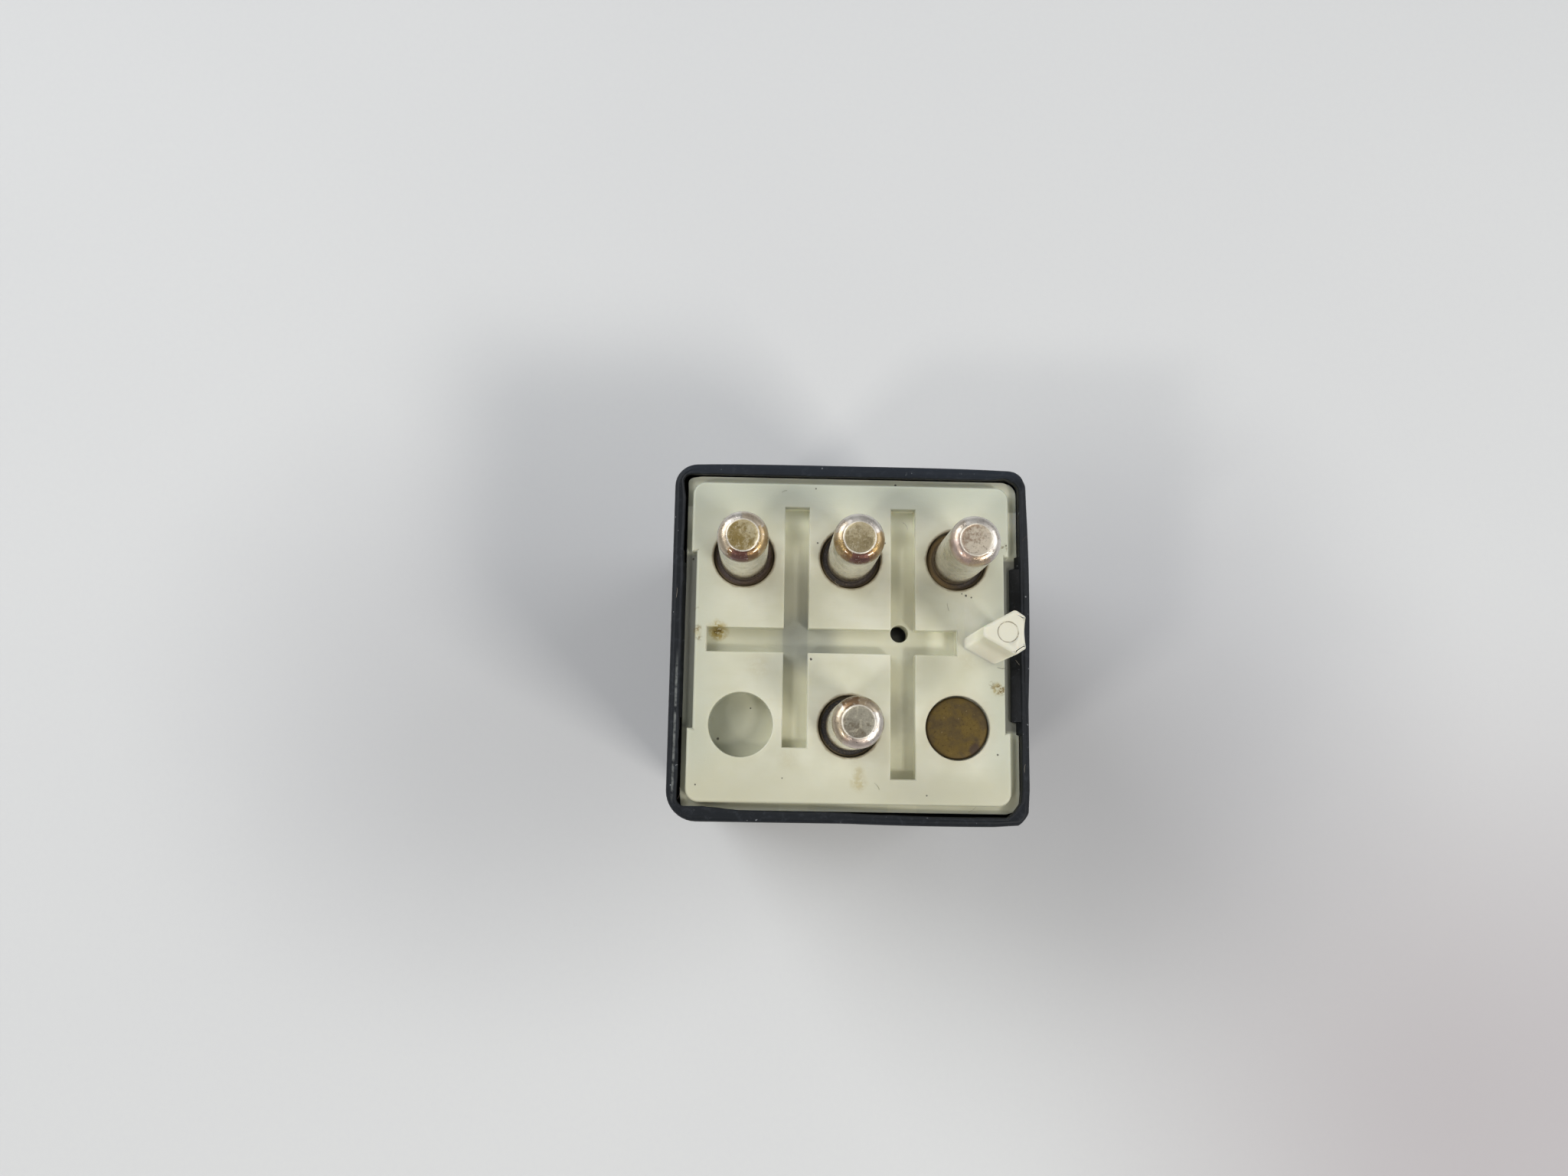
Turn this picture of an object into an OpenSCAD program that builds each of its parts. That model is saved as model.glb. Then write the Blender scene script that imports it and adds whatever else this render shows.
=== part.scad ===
// Automotive relay with four round contact pins on a square moulded base.
// A deep cover snaps over the base; the magnet and its contacts hang from the base inside it.
// Origin: middle of the closed end of the cover. +Z runs towards the pins.

/* [Cover] */
// Outer width of the square cover
cover_side = 30; // [29:0.5:34]
// Height from the closed end to the rim
cover_height = 40; // [38:0.5:60]
// Outer corner radius in plan
cover_corner = 1.9; // [1.6:0.1:4]
// Fillet round the closed end
cover_fillet = 1.2; // [0.5:0.1:1.5]
// Wall thickness below the ledge that carries the base
cover_wall = 1.3; // [1:0.05:1.6]
// Wall thickness of the rim round the base
rim_wall = 0.75; // [0.6:0.05:0.95]
// Thickness of the closed end
end_wall = 1.4; // [1:0.1:2.5]
// Radius of the rounded outer lip
lip_radius = 0.4; // [0.2:0.05:0.5]
// Clearance between the base and the cover on each side
base_play = 0.2; // [0.05:0.01:0.25]
// Share of that clearance by which the flange sits to the right
flange_lean_x = 0.75; // [-0.9:0.05:0.9]
// Share of that clearance by which the flange sits to the back
flange_lean_y = 0.5; // [-0.9:0.05:0.9]
// How far each snap barb stands in from the rim wall
barb_reach = 0.4; // [0.3:0.05:0.6]
// How far the shallower ends of a barb stand in
barb_end_reach = 0.2; // [0.1:0.05:0.25]
// Height of each snap barb
barb_height = 0.8; // [0.6:0.05:1]
// Length of each snap barb
barb_length = 14; // [8:0.5:16]
// Length of the shallower stretch at each end of a barb
barb_step = 1.05; // [0.5:0.05:2]
// Extra corner radius of the base, which leaves a small gap in the cover's corners
corner_relief = 0.6; // [0:0.1:1]

/* [Base] */
// Width of the raised square platform
platform_side = 26.85; // [25.5:0.05:27.2]
// Corner radius of the platform
platform_corner = 1.1; // [0.5:0.1:2]
// Height of the platform above the flange
platform_height = 1.1; // [0.9:0.1:1.5]
// Thickness of the flange that sits on the cover's ledge
flange_thickness = 1.5; // [1:0.1:2]
// Thickness of the base from the platform face to its underside
plate_thickness = 3.2; // [3.1:0.1:5]
// Depth of the skirt below the flange
skirt_depth = 3.4; // [1.5:0.1:5]
// Wall thickness of the skirt
skirt_wall = 0.9; // [0.6:0.05:1]
// Depth of the notch in each side of the platform
notch_depth = 0.45; // [0.2:0.05:0.9]
// Length of the notch in each side of the platform
notch_length = 14.8; // [13.2:0.1:18]
// Width of the moulded grooves
groove_width = 2.05; // [1.2:0.05:2.4]
// Depth of the moulded grooves
groove_depth = 1.4; // [0.6:0.1:2]
// Place of the left long groove
groove_left_x = -4.53; // [-4.8:0.05:-4.3]
// Place of the right long groove
groove_right_x = 4.44; // [4.3:0.05:4.8]
// Distance of the long grooves' ends from the platform's edge
groove_margin = 2.1; // [1.5:0.1:4]
// Distance of the left groove's lower end from the platform's edge
groove_short_margin = 4.55; // [2:0.05:8]
// Distance of the cross groove's left end from the platform's edge
cross_margin = 1.45; // [1:0.05:5]
// Diameter of the vent hole
vent_diameter = 1.5; // [0.8:0.1:2]
// Distance of the vent hole from the right groove's middle
vent_shift = 0.16; // [0:0.01:0.3]
// Distance of the vent hole from the cross groove's middle
vent_y = 0.87; // [0:0.01:1]
// Diameter of the blank pocket and of the rivet's recess
pocket_diameter = 5.35; // [4.5:0.05:6]
// Depth of the blank pocket
pocket_depth = 2.2; // [1:0.1:2.4]
// Depth of the rivet's recess
rivet_recess = 0.75; // [0.5:0.05:1]
// Thickness of the rivet's head
rivet_head = 0.4; // [0.2:0.05:0.5]
// Gap between the cross groove and the key lug
cross_gap = 0.55; // [0.3:0.05:2]

/* [Contact pins] */
// Diameter of the contact pins
pin_diameter = 4; // [3:0.1:4.4]
// Height of the pins above the platform
pin_reach = 9.2; // [6:0.1:14]
// Diameter of the flat at a pin's tip
pin_tip = 2.2; // [1.6:0.1:2.6]
// Distance between neighbouring pins in a row
pin_pitch = 9; // [8.6:0.1:9.3]
// Distance of each pin row from the middle
pin_row = 7.05; // [6.8:0.05:7.3]
// Diameter of the recess round each pin
recess_diameter = 5.15; // [4.6:0.05:5.6]
// Depth of the recess round each pin
recess_depth = 0.9; // [0.4:0.1:1.2]
// Thickness of each pin's collar at the bottom of its recess
collar_thickness = 0.35; // [0.2:0.05:0.35]
// Clearance round a collar in its recess
collar_play = 0.1; // [0.05:0.01:0.15]
// Diameter of a pin's shank in the base
shank_diameter = 2.6; // [2:0.1:2.9]
// Clearance round a shank in its hole
shank_play = 0.02; // [0.01:0.01:0.05]
// Diameter of a shank's riveted head
shank_head = 3.8; // [3.2:0.1:4.2]
// Thickness of a shank's riveted head
shank_head_thickness = 0.6; // [0.4:0.1:0.8]

/* [Key lug] */
// Height of the key lug above the platform
key_height = 8.8; // [4:0.1:12]
// Distance from the middle to the lug's nose
key_nose_x = 9.5; // [9:0.1:10.5]
// Width of the lug's nose
key_nose = 0.75; // [0.5:0.05:1.5]
// Widest part of the lug
key_width = 3.5; // [2:0.1:4]
// Width of the lug's back
key_back = 2.44; // [1:0.02:3.4]
// Distance of the lug's back from the notch beside it
key_inset = 0.15; // [0:0.05:0.4]
// Length of the chamfer between the lug's sides and its back
key_chamfer = 0.8; // [0.4:0.05:1.4]
// Radius of the lug's upright edges
key_round = 0.3; // [0.1:0.05:0.4]
// Depth of the hollow in the lug's back
key_hollow = 0.12; // [0.05:0.01:0.25]
// Diameter of the ejector mark on the lug
ejector_mark = 1.63; // [1:0.01:1.8]
// Distance of the ejector mark from the lug's back
mark_margin = 0.6; // [0.4:0.05:1]

/* [Magnet] */
// Room behind the yoke for the return spring
spring_room = 2; // [1.8:0.1:2.2]
// Gap between the base and the yoke, bridged by two posts
yoke_drop = 2.6; // [2.4:0.1:4]
// Thickness of the yoke
yoke_thickness = 1.8; // [1.2:0.1:2]
// Width of the yoke
yoke_width = 15; // [12:0.5:16]
// Diameter of the posts that carry the yoke
post_diameter = 3.4; // [2.6:0.1:4]
// Distance of each post from the coil's axis
post_x = 9.9; // [9.8:0.1:10.4]
// Diameter of the stud on each post
stud_diameter = 1.8; // [1.2:0.1:2.2]
// Diameter of the core
core_diameter = 6; // [4:0.1:7]
// Diameter of the pole shoe
pole_diameter = 9; // [8:0.1:11]
// Thickness of the pole shoe
pole_thickness = 1.2; // [0.8:0.1:2]
// Length of the bobbin
coil_length = 22.5; // [14:0.5:24]
// Thickness of the bobbin's tube
bobbin_wall = 0.8; // [0.5:0.05:1.2]
// Width of the bobbin's flanges
bobbin_side = 16.6; // [15.5:0.1:17]
// Thickness of the bobbin's flanges
bobbin_flange = 1; // [0.6:0.1:1.5]
// Outer diameter of the winding
winding_diameter = 14.4; // [11:0.1:15]
// Height of one ridge of the winding
winding_ridge = 0.62; // [0.5:0.02:1.2]
// Clearance of the core in the bobbin
core_play = 0.05; // [0.02:0.01:0.1]
// Clearance between the bobbin and the inside of the yoke's bend
yoke_play = 0.15; // [0.1:0.05:0.5]

/* [Armature and contacts] */
// Thickness of the armature
armature_thickness = 1.5; // [1:0.1:1.8]
// Gap that stays between the closed armature and the yoke
residual_gap = 0.1; // [0.05:0.01:0.15]
// Angle between the open and the closed armature
armature_swing = 2.5; // [1.5:0.1:3]
// Distance from the coil's axis to the armature's free end
armature_nose = 6.6; // [5:0.1:7]
// Width of the armature
armature_width = 12; // [9:0.5:12]
// Depth of the two horns that guide the armature
horn_depth = 1; // [0.6:0.1:1.4]
// Width of the contact blade
blade_width = 7; // [5:0.1:8]
// Thickness of the contact blade
blade_thickness = 0.35; // [0.25:0.05:0.5]
// Diameter of the rivets that hold the blade
blade_rivet = 1.6; // [1:0.1:2]
// Diameter of the silver contacts
contact_diameter = 3.2; // [2.4:0.1:4]
// Thickness of each silver contact
contact_thickness = 0.9; // [0.6:0.1:1.2]
// Clearance that is left between the closed contacts
contact_play = 0.05; // [0.03:0.01:0.15]
// Thickness of the rivet tail behind each contact
contact_tail = 0.4; // [0.2:0.05:0.6]
// Thickness of the contact brackets and straps
strap_thickness = 0.8; // [0.5:0.05:0.9]
// Width of the contact brackets
bracket_width = 5; // [3.5:0.1:6]
// Width of the stop bracket
stop_width = 4.4; // [3.5:0.1:5]
// Width of the coil straps
strap_width = 3; // [2:0.1:3.4]
// Outer diameter of the return spring
spring_diameter = 1.3; // [1:0.05:1.35]
// Thickness of the return spring's wire
spring_wire = 0.28; // [0.2:0.02:0.32]
// Number of coils in the return spring
spring_coils = 14; // [8:1:18]
// Thickness of the copper braid
braid_thickness = 1.1; // [0.8:0.1:1.4]
// Diameter of the suppression resistor
resistor_diameter = 1.9; // [1.4:0.1:2.1]
// Length of the suppression resistor
resistor_length = 6; // [4:0.5:8]
// Diameter of the resistor's lead wires
resistor_lead = 0.5; // [0.3:0.05:0.7]
// Length of each of the resistor's end caps
resistor_cap = 1.4; // [1:0.1:2]
// Diameter of the coil's lead wires
lead_diameter = 0.45; // [0.3:0.05:0.6]

/* [Hidden] */
$fn = 64;

// Overshoot of every cut past the face that it opens
cut = 1;

// Cover
cover_half = cover_side / 2;
rim_half = cover_half - rim_wall;
cavity_half = cover_half - cover_wall;
least_corner = 0.4;
cavity_corner = max(least_corner, cover_corner - cover_wall);

// Heights of the base
z_platform = cover_height;
z_flange = z_platform - platform_height;
z_ledge = z_flange - flange_thickness;
z_under = z_platform - plate_thickness;
z_skirt = z_ledge - skirt_depth;

// Outlines of the base
platform_half = platform_side / 2;
notch_x = platform_half - notch_depth;
flange_half = rim_half - base_play;
flange_corner = cavity_corner + corner_relief;
skirt_half = cavity_half - base_play;
skirt_inner = skirt_half - skirt_wall;
flange_place = base_play * [flange_lean_x, flange_lean_y, 0];
barb_play = 0.05;
barb_nose = barb_height / 3;

// Sockets of the pins and the rivet
pins = [[-pin_pitch, pin_row], [pin_pitch, pin_row], [0, pin_row], [0, -pin_row]];
rivet_place = [pin_pitch, -pin_row];
pocket_place = [-pin_pitch, -pin_row];
shank_hole = shank_diameter + 2 * shank_play;
collar_diameter = recess_diameter - 2 * collar_play;
z_strap = z_under - strap_thickness;

// Straps that hang inside the skirt
strap_play = 0.25;
strap_outer = skirt_inner - strap_play;
strap_middle = strap_outer - strap_thickness / 2;
strap_inner = strap_outer - strap_thickness;
strap_bend = strap_thickness;
pad_margin = 0.6;
pad_reach = shank_head / 2 + pad_margin;

// Key lug
key_back_x = notch_x - key_inset;
key_wide_x = key_back_x - key_chamfer;
mark_depth = 0.06;

// Magnet
yoke_back = cavity_half - spring_room;
yoke_front = yoke_back - yoke_thickness;
yoke_middle = yoke_back - yoke_thickness / 2;
yoke_bend = 0.8 * yoke_thickness;
yoke_inner_bend = yoke_bend - yoke_thickness / 2;
coil_y = yoke_front - yoke_inner_bend - yoke_play - bobbin_side / 2;
z_yoke = z_under - yoke_drop;
z_bobbin = z_yoke - yoke_thickness;
z_pole = z_bobbin - coil_length - pole_thickness;
neck_step = 0.8;
neck_diameter = core_diameter - 2 * neck_step;
tube_radius = core_diameter / 2 + core_play;
bobbin_corner = 1.5;
ear_margin = 0.7;
ear_width = post_diameter + 2 * ear_margin;
horn_play = 0.25;

// Riveted heads are this much wider than their shanks, and this high
head_flare = 1;
head_height = 0.5;

// Armature, drawn closed and turned open about the yoke's lower outer edge
hinge_y = yoke_back;
hinge_z = z_pole - residual_gap;
z_blade = hinge_z - armature_thickness;
z_blade_under = z_blade - blade_thickness;
armature_front = coil_y - armature_nose;
armature_half = armature_width / 2;
armature_chamfer = 2;
tail_half = 1.6;
tail_play = 0.2;
tail_end = cavity_half - tail_play;
blade_setback = 3.2;
blade_rear = hinge_y - blade_setback;
blade_taper = 2;
blade_margin = 0.4;
rivet_offset = 2;
rivet_x = blade_width / 4;
rivet_y = coil_y + rivet_offset;

// Contacts
contact_room = 0.3;
contact_y = -(strap_inner - contact_diameter / 2 - contact_room);
contact_shank = contact_diameter / 2;
z_moving = z_blade + contact_thickness;
z_fixed = z_moving + contact_play;
z_foot = z_fixed + contact_thickness;
foot_end = contact_y + contact_diameter / 2 + contact_room;
stop_play = 0.05;
stop_drop = (hinge_y - contact_y + contact_shank / 2) * sin(armature_swing)
          + (hinge_z - z_blade_under + contact_tail) * cos(armature_swing);
z_stop = hinge_z - stop_drop - stop_play;

// Return spring
spring_y = (yoke_back + cavity_half) / 2;
spring_helix = (spring_diameter - spring_wire) / 2;
hook_play = 0.25;
hook_hole = spring_wire + 2 * hook_play;
hook_gap = 0.1;
hook_length = 3 * spring_wire;
lug_rise = 9;
lug_height = 0.8;
z_lug = z_pole + lug_rise;

// Leads, braid and resistor
touch = 0.03;
lead_radius = lead_diameter / 2;
lead_drop = 5;
lead_from = 84;
lead_to = 68;
lead_step = 8;
lead_bend = 1.6;
z_lead = z_bobbin - lead_drop;
resistor_drop = 3;
z_resistor = z_bobbin - resistor_drop;
resistor_y = -(strap_inner - resistor_diameter / 2 - contact_room);
resistor_waist = 0.86 * resistor_diameter;
supply_drop = 4;
braid_x = 4.4;
braid_radius = braid_thickness / 2;
braid_weld = 7;
braid_pad = 2;
braid_sag = 2.3;

// ---------- helpers ----------

function unit(v) = v / norm(v);
function turned(v, a) = [v.x * cos(a) - v.y * sin(a), v.x * sin(a) + v.y * cos(a)];
function backwards(list) = [for (i = [len(list) - 1 : -1 : 0]) list[i]];

// A point of the closed armature, moved to where it lies with the armature open
function open_point(p) =
    let (r = turned([p.y - hinge_y, p.z - hinge_z], armature_swing))
    [p.x, hinge_y + r.x, hinge_z + r.y];

// Points of a bend at v, on the line that lies s to the left of a strip's middle line
function bend(a, v, b, radius, s, steps = 6) =
    let (d = unit(v - a), e = unit(b - v))
    let (angle = atan2(d.x * e.y - d.y * e.x, d.x * e.x + d.y * e.y))
    let (side = sign(angle))
    let (middle = v - d * radius * tan(abs(angle) / 2) + side * radius * [-d.y, d.x])
    [for (i = [0 : steps]) middle + (radius - s * side) * turned(side * [d.y, -d.x], angle * i / steps)];

function strip_side(line, radius, s) =
    let (last = len(line) - 1)
    let (d = unit(line[1] - line[0]), e = unit(line[last] - line[last - 1]))
    concat([line[0] + s * [-d.y, d.x]],
           [for (i = [1 : last - 1]) each bend(line[i - 1], line[i], line[i + 1], radius, s)],
           [line[last] + s * [-e.y, e.x]]);

// Section of a bent metal strip along a line, with the given middle bend radius
module strip(line, thickness, radius) {
    polygon(concat(strip_side(line, radius, thickness / 2),
                   backwards(strip_side(line, radius, -thickness / 2))));
}

// A section drawn in y and z, run along x
module along_x(width) {
    rotate([90, 0, 90]) linear_extrude(width, center = true) children();
}

// A section drawn in x and z, run along y
module along_y(width) {
    rotate([90, 0, 0]) linear_extrude(width, center = true) children();
}

// Square outline with round corners
module rounded_square(half, corner) {
    inner = half - corner;
    square([2 * half, 2 * inner], center = true);
    square([2 * inner, 2 * half], center = true);
    for (x = [-inner, inner], y = [-inner, inner]) translate([x, y]) circle(corner);
}

// Square bar from z0 to z1 with round corners
module square_bar(half, corner, z0, z1) {
    translate([0, 0, z0]) linear_extrude(z1 - z0) rounded_square(half, corner);
}

// Slab of the given thickness whose lower edge is rounded off all the way round
module rounded_slab(half, corner, radius) {
    run = half - corner;
    root = (corner - radius) / 2;
    inset = radius + root / 2;
    linear_extrude(radius) rounded_square(half - inset, corner - inset);
    for (a = [0 : 90 : 270]) rotate([0, 0, a]) {
        translate([half - radius, 0, radius]) along_y(2 * run) edge_section(radius, root);
        translate([run, run, radius]) rotate_extrude(angle = 90)
            translate([corner - radius, 0]) edge_section(radius, root);
    }
}

// Quarter of a disc, below and to the right of its middle, with a root to its left
module edge_section(radius, root) {
    intersection() {
        circle(radius);
        translate([0, -radius]) square(radius);
    }
    translate([-root, -radius]) square([root, radius]);
}

// Carries a sweep's side direction n along the path without twist
function carried(n, t) = unit(n - t * (n * t));
function tangents(path) =
    let (last = len(path) - 1)
    [for (i = [0 : last]) unit(path[min(i + 1, last)] - path[max(i - 1, 0)])];

// Round wire swept along a path
module wire(path, radius, first_side, sides = 8) {
    t = tangents(path);
    n = [for (i = 0, v = carried(first_side, t[0]); i < len(path);
              i = i + 1, v = i < len(path) ? carried(v, t[i]) : v) v];
    points = [for (i = [0 : len(path) - 1], k = [0 : sides - 1])
        let (a = 360 * k / sides)
        path[i] + radius * (cos(a) * n[i] + sin(a) * cross(t[i], n[i]))];
    rings = len(path);
    faces = concat(
        [[for (k = [0 : sides - 1]) sides - 1 - k]],
        [for (i = [0 : rings - 2], k = [0 : sides - 1])
            let (a = i * sides + k, b = i * sides + (k + 1) % sides)
            each [[a, b, b + sides], [a, b + sides, a + sides]]],
        [[for (k = [0 : sides - 1]) (rings - 1) * sides + k]]);
    polyhedron(points, [for (f = faces) backwards(f)]);
}

// Smooth line through hand-set points
function between(a, b, c, d, u) =
    0.5 * (2 * b + (c - a) * u + (2 * a - 5 * b + 4 * c - d) * u * u
           + (3 * b - a - 3 * c + d) * u * u * u);
function smooth(p, steps = 4) =
    let (last = len(p) - 1)
    concat([for (i = [0 : last - 1], k = [0 : steps - 1])
        between(p[max(i - 1, 0)], p[i], p[i + 1], p[min(i + 2, last)], k / steps)], [p[last]]);

module turn_open() {
    translate([0, hinge_y, hinge_z]) rotate([armature_swing, 0, 0])
        translate([0, -hinge_y, -hinge_z]) children();
}

// ---------- cover ----------

module cover_shell() {
    square_bar(cover_half, cover_corner, cover_fillet, cover_height - lip_radius);
    rounded_slab(cover_half, cover_corner, cover_fillet);
    translate([0, 0, cover_height]) mirror([0, 0, 1]) rounded_slab(cover_half, cover_corner, lip_radius);
}

// Wedge on the inside of the rim that holds the flange down
module snap_barb(reach, length) {
    root = rim_half + rim_wall / 2;
    z = z_flange + barb_play;
    along_y(length) polygon([[root, z], [rim_half - reach, z], [rim_half - reach, z + barb_nose],
                             [rim_half, z + barb_height], [root, z + barb_height]]);
}

module cover() {
    color("#2d3034") {
        difference() {
            cover_shell();
            square_bar(cavity_half, cavity_corner, end_wall, z_ledge + cut);
            square_bar(rim_half, cavity_corner, z_ledge, cover_height + cut);
        }
        for (a = [0, 180]) rotate([0, 0, a]) {
            snap_barb(barb_reach, barb_length - 2 * barb_step);
            snap_barb(barb_end_reach, barb_length);
        }
    }
}

// ---------- base ----------

module platform_outline() {
    difference() {
        rounded_square(platform_half, platform_corner);
        for (side = [-1, 1])
            translate([side * (notch_x + cut), 0]) square([2 * cut, notch_length], center = true);
    }
}

module groove(x0, x1, y0, y1) {
    translate([x0, y0, z_platform - groove_depth]) cube([x1 - x0, y1 - y0, groove_depth + cut]);
}

module grooves() {
    half = groove_width / 2;
    reach = platform_half - groove_margin;
    groove(groove_left_x - half, groove_left_x + half, groove_short_margin - platform_half, reach);
    groove(groove_right_x - half, groove_right_x + half, -reach, reach);
    groove(cross_margin - platform_half, key_nose_x - cross_gap, -half, half);
}

// Round socket from the platform, of the given diameter and depth
module socket(place, diameter, depth) {
    translate([place.x, place.y, z_platform - depth]) cylinder(h = depth + cut, d = diameter);
}

module key_lug() {
    hollow_radius = (key_back * key_back / 4 + key_hollow * key_hollow) / (2 * key_hollow);
    corners = [[key_nose_x, -key_nose / 2], [key_wide_x, -key_width / 2],
               [key_back_x, -key_back / 2], [key_back_x, key_back / 2],
               [key_wide_x, key_width / 2], [key_nose_x, key_nose / 2]];
    count = len(corners);
    difference() {
        translate([0, 0, z_flange]) linear_extrude(platform_height + key_height) difference() {
            polygon([for (i = [0 : count - 1])
                let (before = corners[(i + count - 1) % count], after = corners[(i + 1) % count])
                each bend(before, corners[i], after, key_round, 0)]);
            translate([key_back_x - key_hollow + hollow_radius, 0]) circle(hollow_radius, $fn = 120);
        }
        translate([key_back_x - mark_margin - ejector_mark / 2, 0, z_platform + key_height - mark_depth])
            cylinder(h = cut, d = ejector_mark);
    }
}

// Moulded post with a stud that is melted over below the yoke
module yoke_post() {
    translate([0, 0, z_yoke]) cylinder(h = yoke_drop + plate_thickness / 2, d = post_diameter);
    translate([0, 0, z_bobbin]) cylinder(h = yoke_thickness + cut, d = stud_diameter);
    translate([0, 0, z_bobbin - head_height]) cylinder(h = head_height, d = stud_diameter + head_flare);
}

module base() {
    color("#dcddc8") {
        difference() {
            union() {
                translate([0, 0, z_flange - cut]) linear_extrude(platform_height + cut) platform_outline();
                translate(flange_place) square_bar(flange_half, flange_corner, z_ledge, z_flange);
                difference() {
                    square_bar(skirt_half, flange_corner, z_skirt, z_ledge + flange_thickness / 2);
                    square_bar(skirt_inner, flange_corner - skirt_wall / 2, z_skirt - cut, z_under);
                }
            }
            grooves();
            for (p = pins) {
                socket(p, recess_diameter, recess_depth);
                socket(p, shank_hole, plate_thickness + cut);
            }
            socket(rivet_place, pocket_diameter, rivet_recess);
            socket(rivet_place, shank_hole, plate_thickness + cut);
            socket(pocket_place, pocket_diameter, pocket_depth);
            socket([groove_right_x - vent_shift, vent_y], vent_diameter, plate_thickness + cut);
        }
        key_lug();
        for (side = [-1, 1]) translate([side * post_x, coil_y, 0]) yoke_post();
    }
}

// ---------- contact pins and rivet ----------

module contact_pin(place) {
    collar_z = z_platform - recess_depth;
    shoulder = (pin_diameter - pin_tip) / 2;
    top = z_platform + pin_reach;
    translate([place.x, place.y, 0]) {
        translate([0, 0, collar_z]) cylinder(h = collar_thickness, d = collar_diameter);
        translate([0, 0, collar_z]) cylinder(h = top - shoulder - collar_z, d = pin_diameter);
        translate([0, 0, top - shoulder]) rotate_extrude() intersection() {
            union() {
                square([pin_tip / 2, shoulder]);
                translate([pin_tip / 2, 0]) circle(shoulder);
            }
            square([pin_diameter, shoulder]);
        }
        translate([0, 0, z_strap])
            cylinder(h = collar_z - z_strap + collar_thickness / 2, d = shank_diameter);
        translate([0, 0, z_strap - shank_head_thickness]) cylinder(h = shank_head_thickness, d = shank_head);
    }
}

module coil_pin_left() { color("#b9b3a6") contact_pin(pins[0]); }
module coil_pin_right() { color("#b9b3a6") contact_pin(pins[1]); }
module supply_pin() { color("#b9b3a6") contact_pin(pins[2]); }
module load_pin() { color("#b9b3a6") contact_pin(pins[3]); }

module stop_rivet() {
    head_z = z_platform - rivet_recess;
    color("#7d693f") translate([rivet_place.x, rivet_place.y, 0]) {
        translate([0, 0, head_z]) cylinder(h = rivet_head, d = pocket_diameter - 2 * collar_play);
        translate([0, 0, z_strap]) cylinder(h = head_z - z_strap + rivet_head / 2, d = shank_diameter);
        translate([0, 0, z_strap - shank_head_thickness]) cylinder(h = shank_head_thickness, d = shank_head);
    }
}

// ---------- magnet ----------

module yoke() {
    short_end = coil_y - post_x / 2;
    horn_inner = armature_half + horn_play;
    horn_width = yoke_width / 2 - horn_inner;
    color("#8d8f8c") difference() {
        union() {
            along_x(yoke_width) strip([[short_end, z_yoke - yoke_thickness / 2],
                                       [yoke_middle, z_yoke - yoke_thickness / 2],
                                       [yoke_middle, z_pole]], yoke_thickness, yoke_bend);
            translate([-post_x - ear_width / 2, coil_y - ear_width / 2, z_bobbin])
                cube([2 * post_x + ear_width, ear_width, yoke_thickness]);
            for (side = [-1, 1]) translate([side * (horn_inner + horn_width / 2), yoke_middle, z_pole])
                cube([horn_width, yoke_thickness, 2 * horn_depth], center = true);
            translate([-tail_half, yoke_front + yoke_thickness / 2, z_lug])
                cube([2 * tail_half, tail_end - yoke_middle, lug_height]);
        }
        for (side = [-1, 1]) translate([side * post_x, coil_y, z_bobbin - cut])
            cylinder(h = yoke_thickness + 2 * cut, d = stud_diameter + 2 * shank_play);
        translate([0, coil_y, z_bobbin - cut])
            cylinder(h = yoke_thickness + 2 * cut, d = neck_diameter + 2 * shank_play);
        translate([0, spring_y, z_lug - cut]) cylinder(h = lug_height + 2 * cut, d = hook_hole);
    }
}

module core() {
    color("#a3a5a2") translate([0, coil_y, 0]) {
        translate([0, 0, z_pole]) cylinder(h = pole_thickness, d = pole_diameter);
        translate([0, 0, z_pole]) cylinder(h = z_bobbin - z_pole, d = core_diameter);
        translate([0, 0, z_bobbin - cut]) cylinder(h = yoke_thickness + cut, d = neck_diameter);
        translate([0, 0, z_yoke]) cylinder(h = head_height, d = neck_diameter + head_flare);
    }
}

module bobbin() {
    color("#c9bfa0") translate([0, coil_y, 0]) difference() {
        union() {
            translate([0, 0, z_bobbin - coil_length])
                cylinder(h = coil_length, r = tube_radius + bobbin_wall);
            for (z = [z_bobbin - coil_length, z_bobbin - bobbin_flange])
                square_bar(bobbin_side / 2, bobbin_corner, z, z + bobbin_flange);
        }
        translate([0, 0, z_bobbin - coil_length - cut]) cylinder(h = coil_length + 2 * cut, r = tube_radius);
    }
}

module coil_winding() {
    length = coil_length - 2 * bobbin_flange;
    turns = floor(length / winding_ridge);
    pitch = length / turns;
    inner = tube_radius + bobbin_wall;
    outer = winding_diameter / 2 - pitch / 2;
    color("#9c4a22") translate([0, coil_y, z_bobbin - coil_length + bobbin_flange]) rotate_extrude() {
        translate([inner, 0]) square([outer - inner, length]);
        for (i = [0 : turns - 1]) translate([outer, (i + 0.5) * pitch]) circle(pitch / 2, $fn = 24);
    }
}

// ---------- coil circuit ----------

// Strap from a coil pin down the inside of the skirt; side is -1 on the left and 1 on the right
module coil_strap(side) {
    color("#c9a45c") difference() {
        along = pin_pitch - pad_reach;
        translate([0, pin_row, 0]) along_y(strap_width)
            strip([[side * along, z_under - strap_thickness / 2],
                   [side * strap_middle, z_under - strap_thickness / 2],
                   [side * strap_middle, z_lead - strap_width / 2]], strap_thickness, strap_bend);
        translate([side * pin_pitch, pin_row, z_strap - cut])
            cylinder(h = strap_thickness + 2 * cut, d = shank_hole);
    }
}

module coil_strap_left() { coil_strap(-1); }
module coil_strap_right() { coil_strap(1); }

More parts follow.
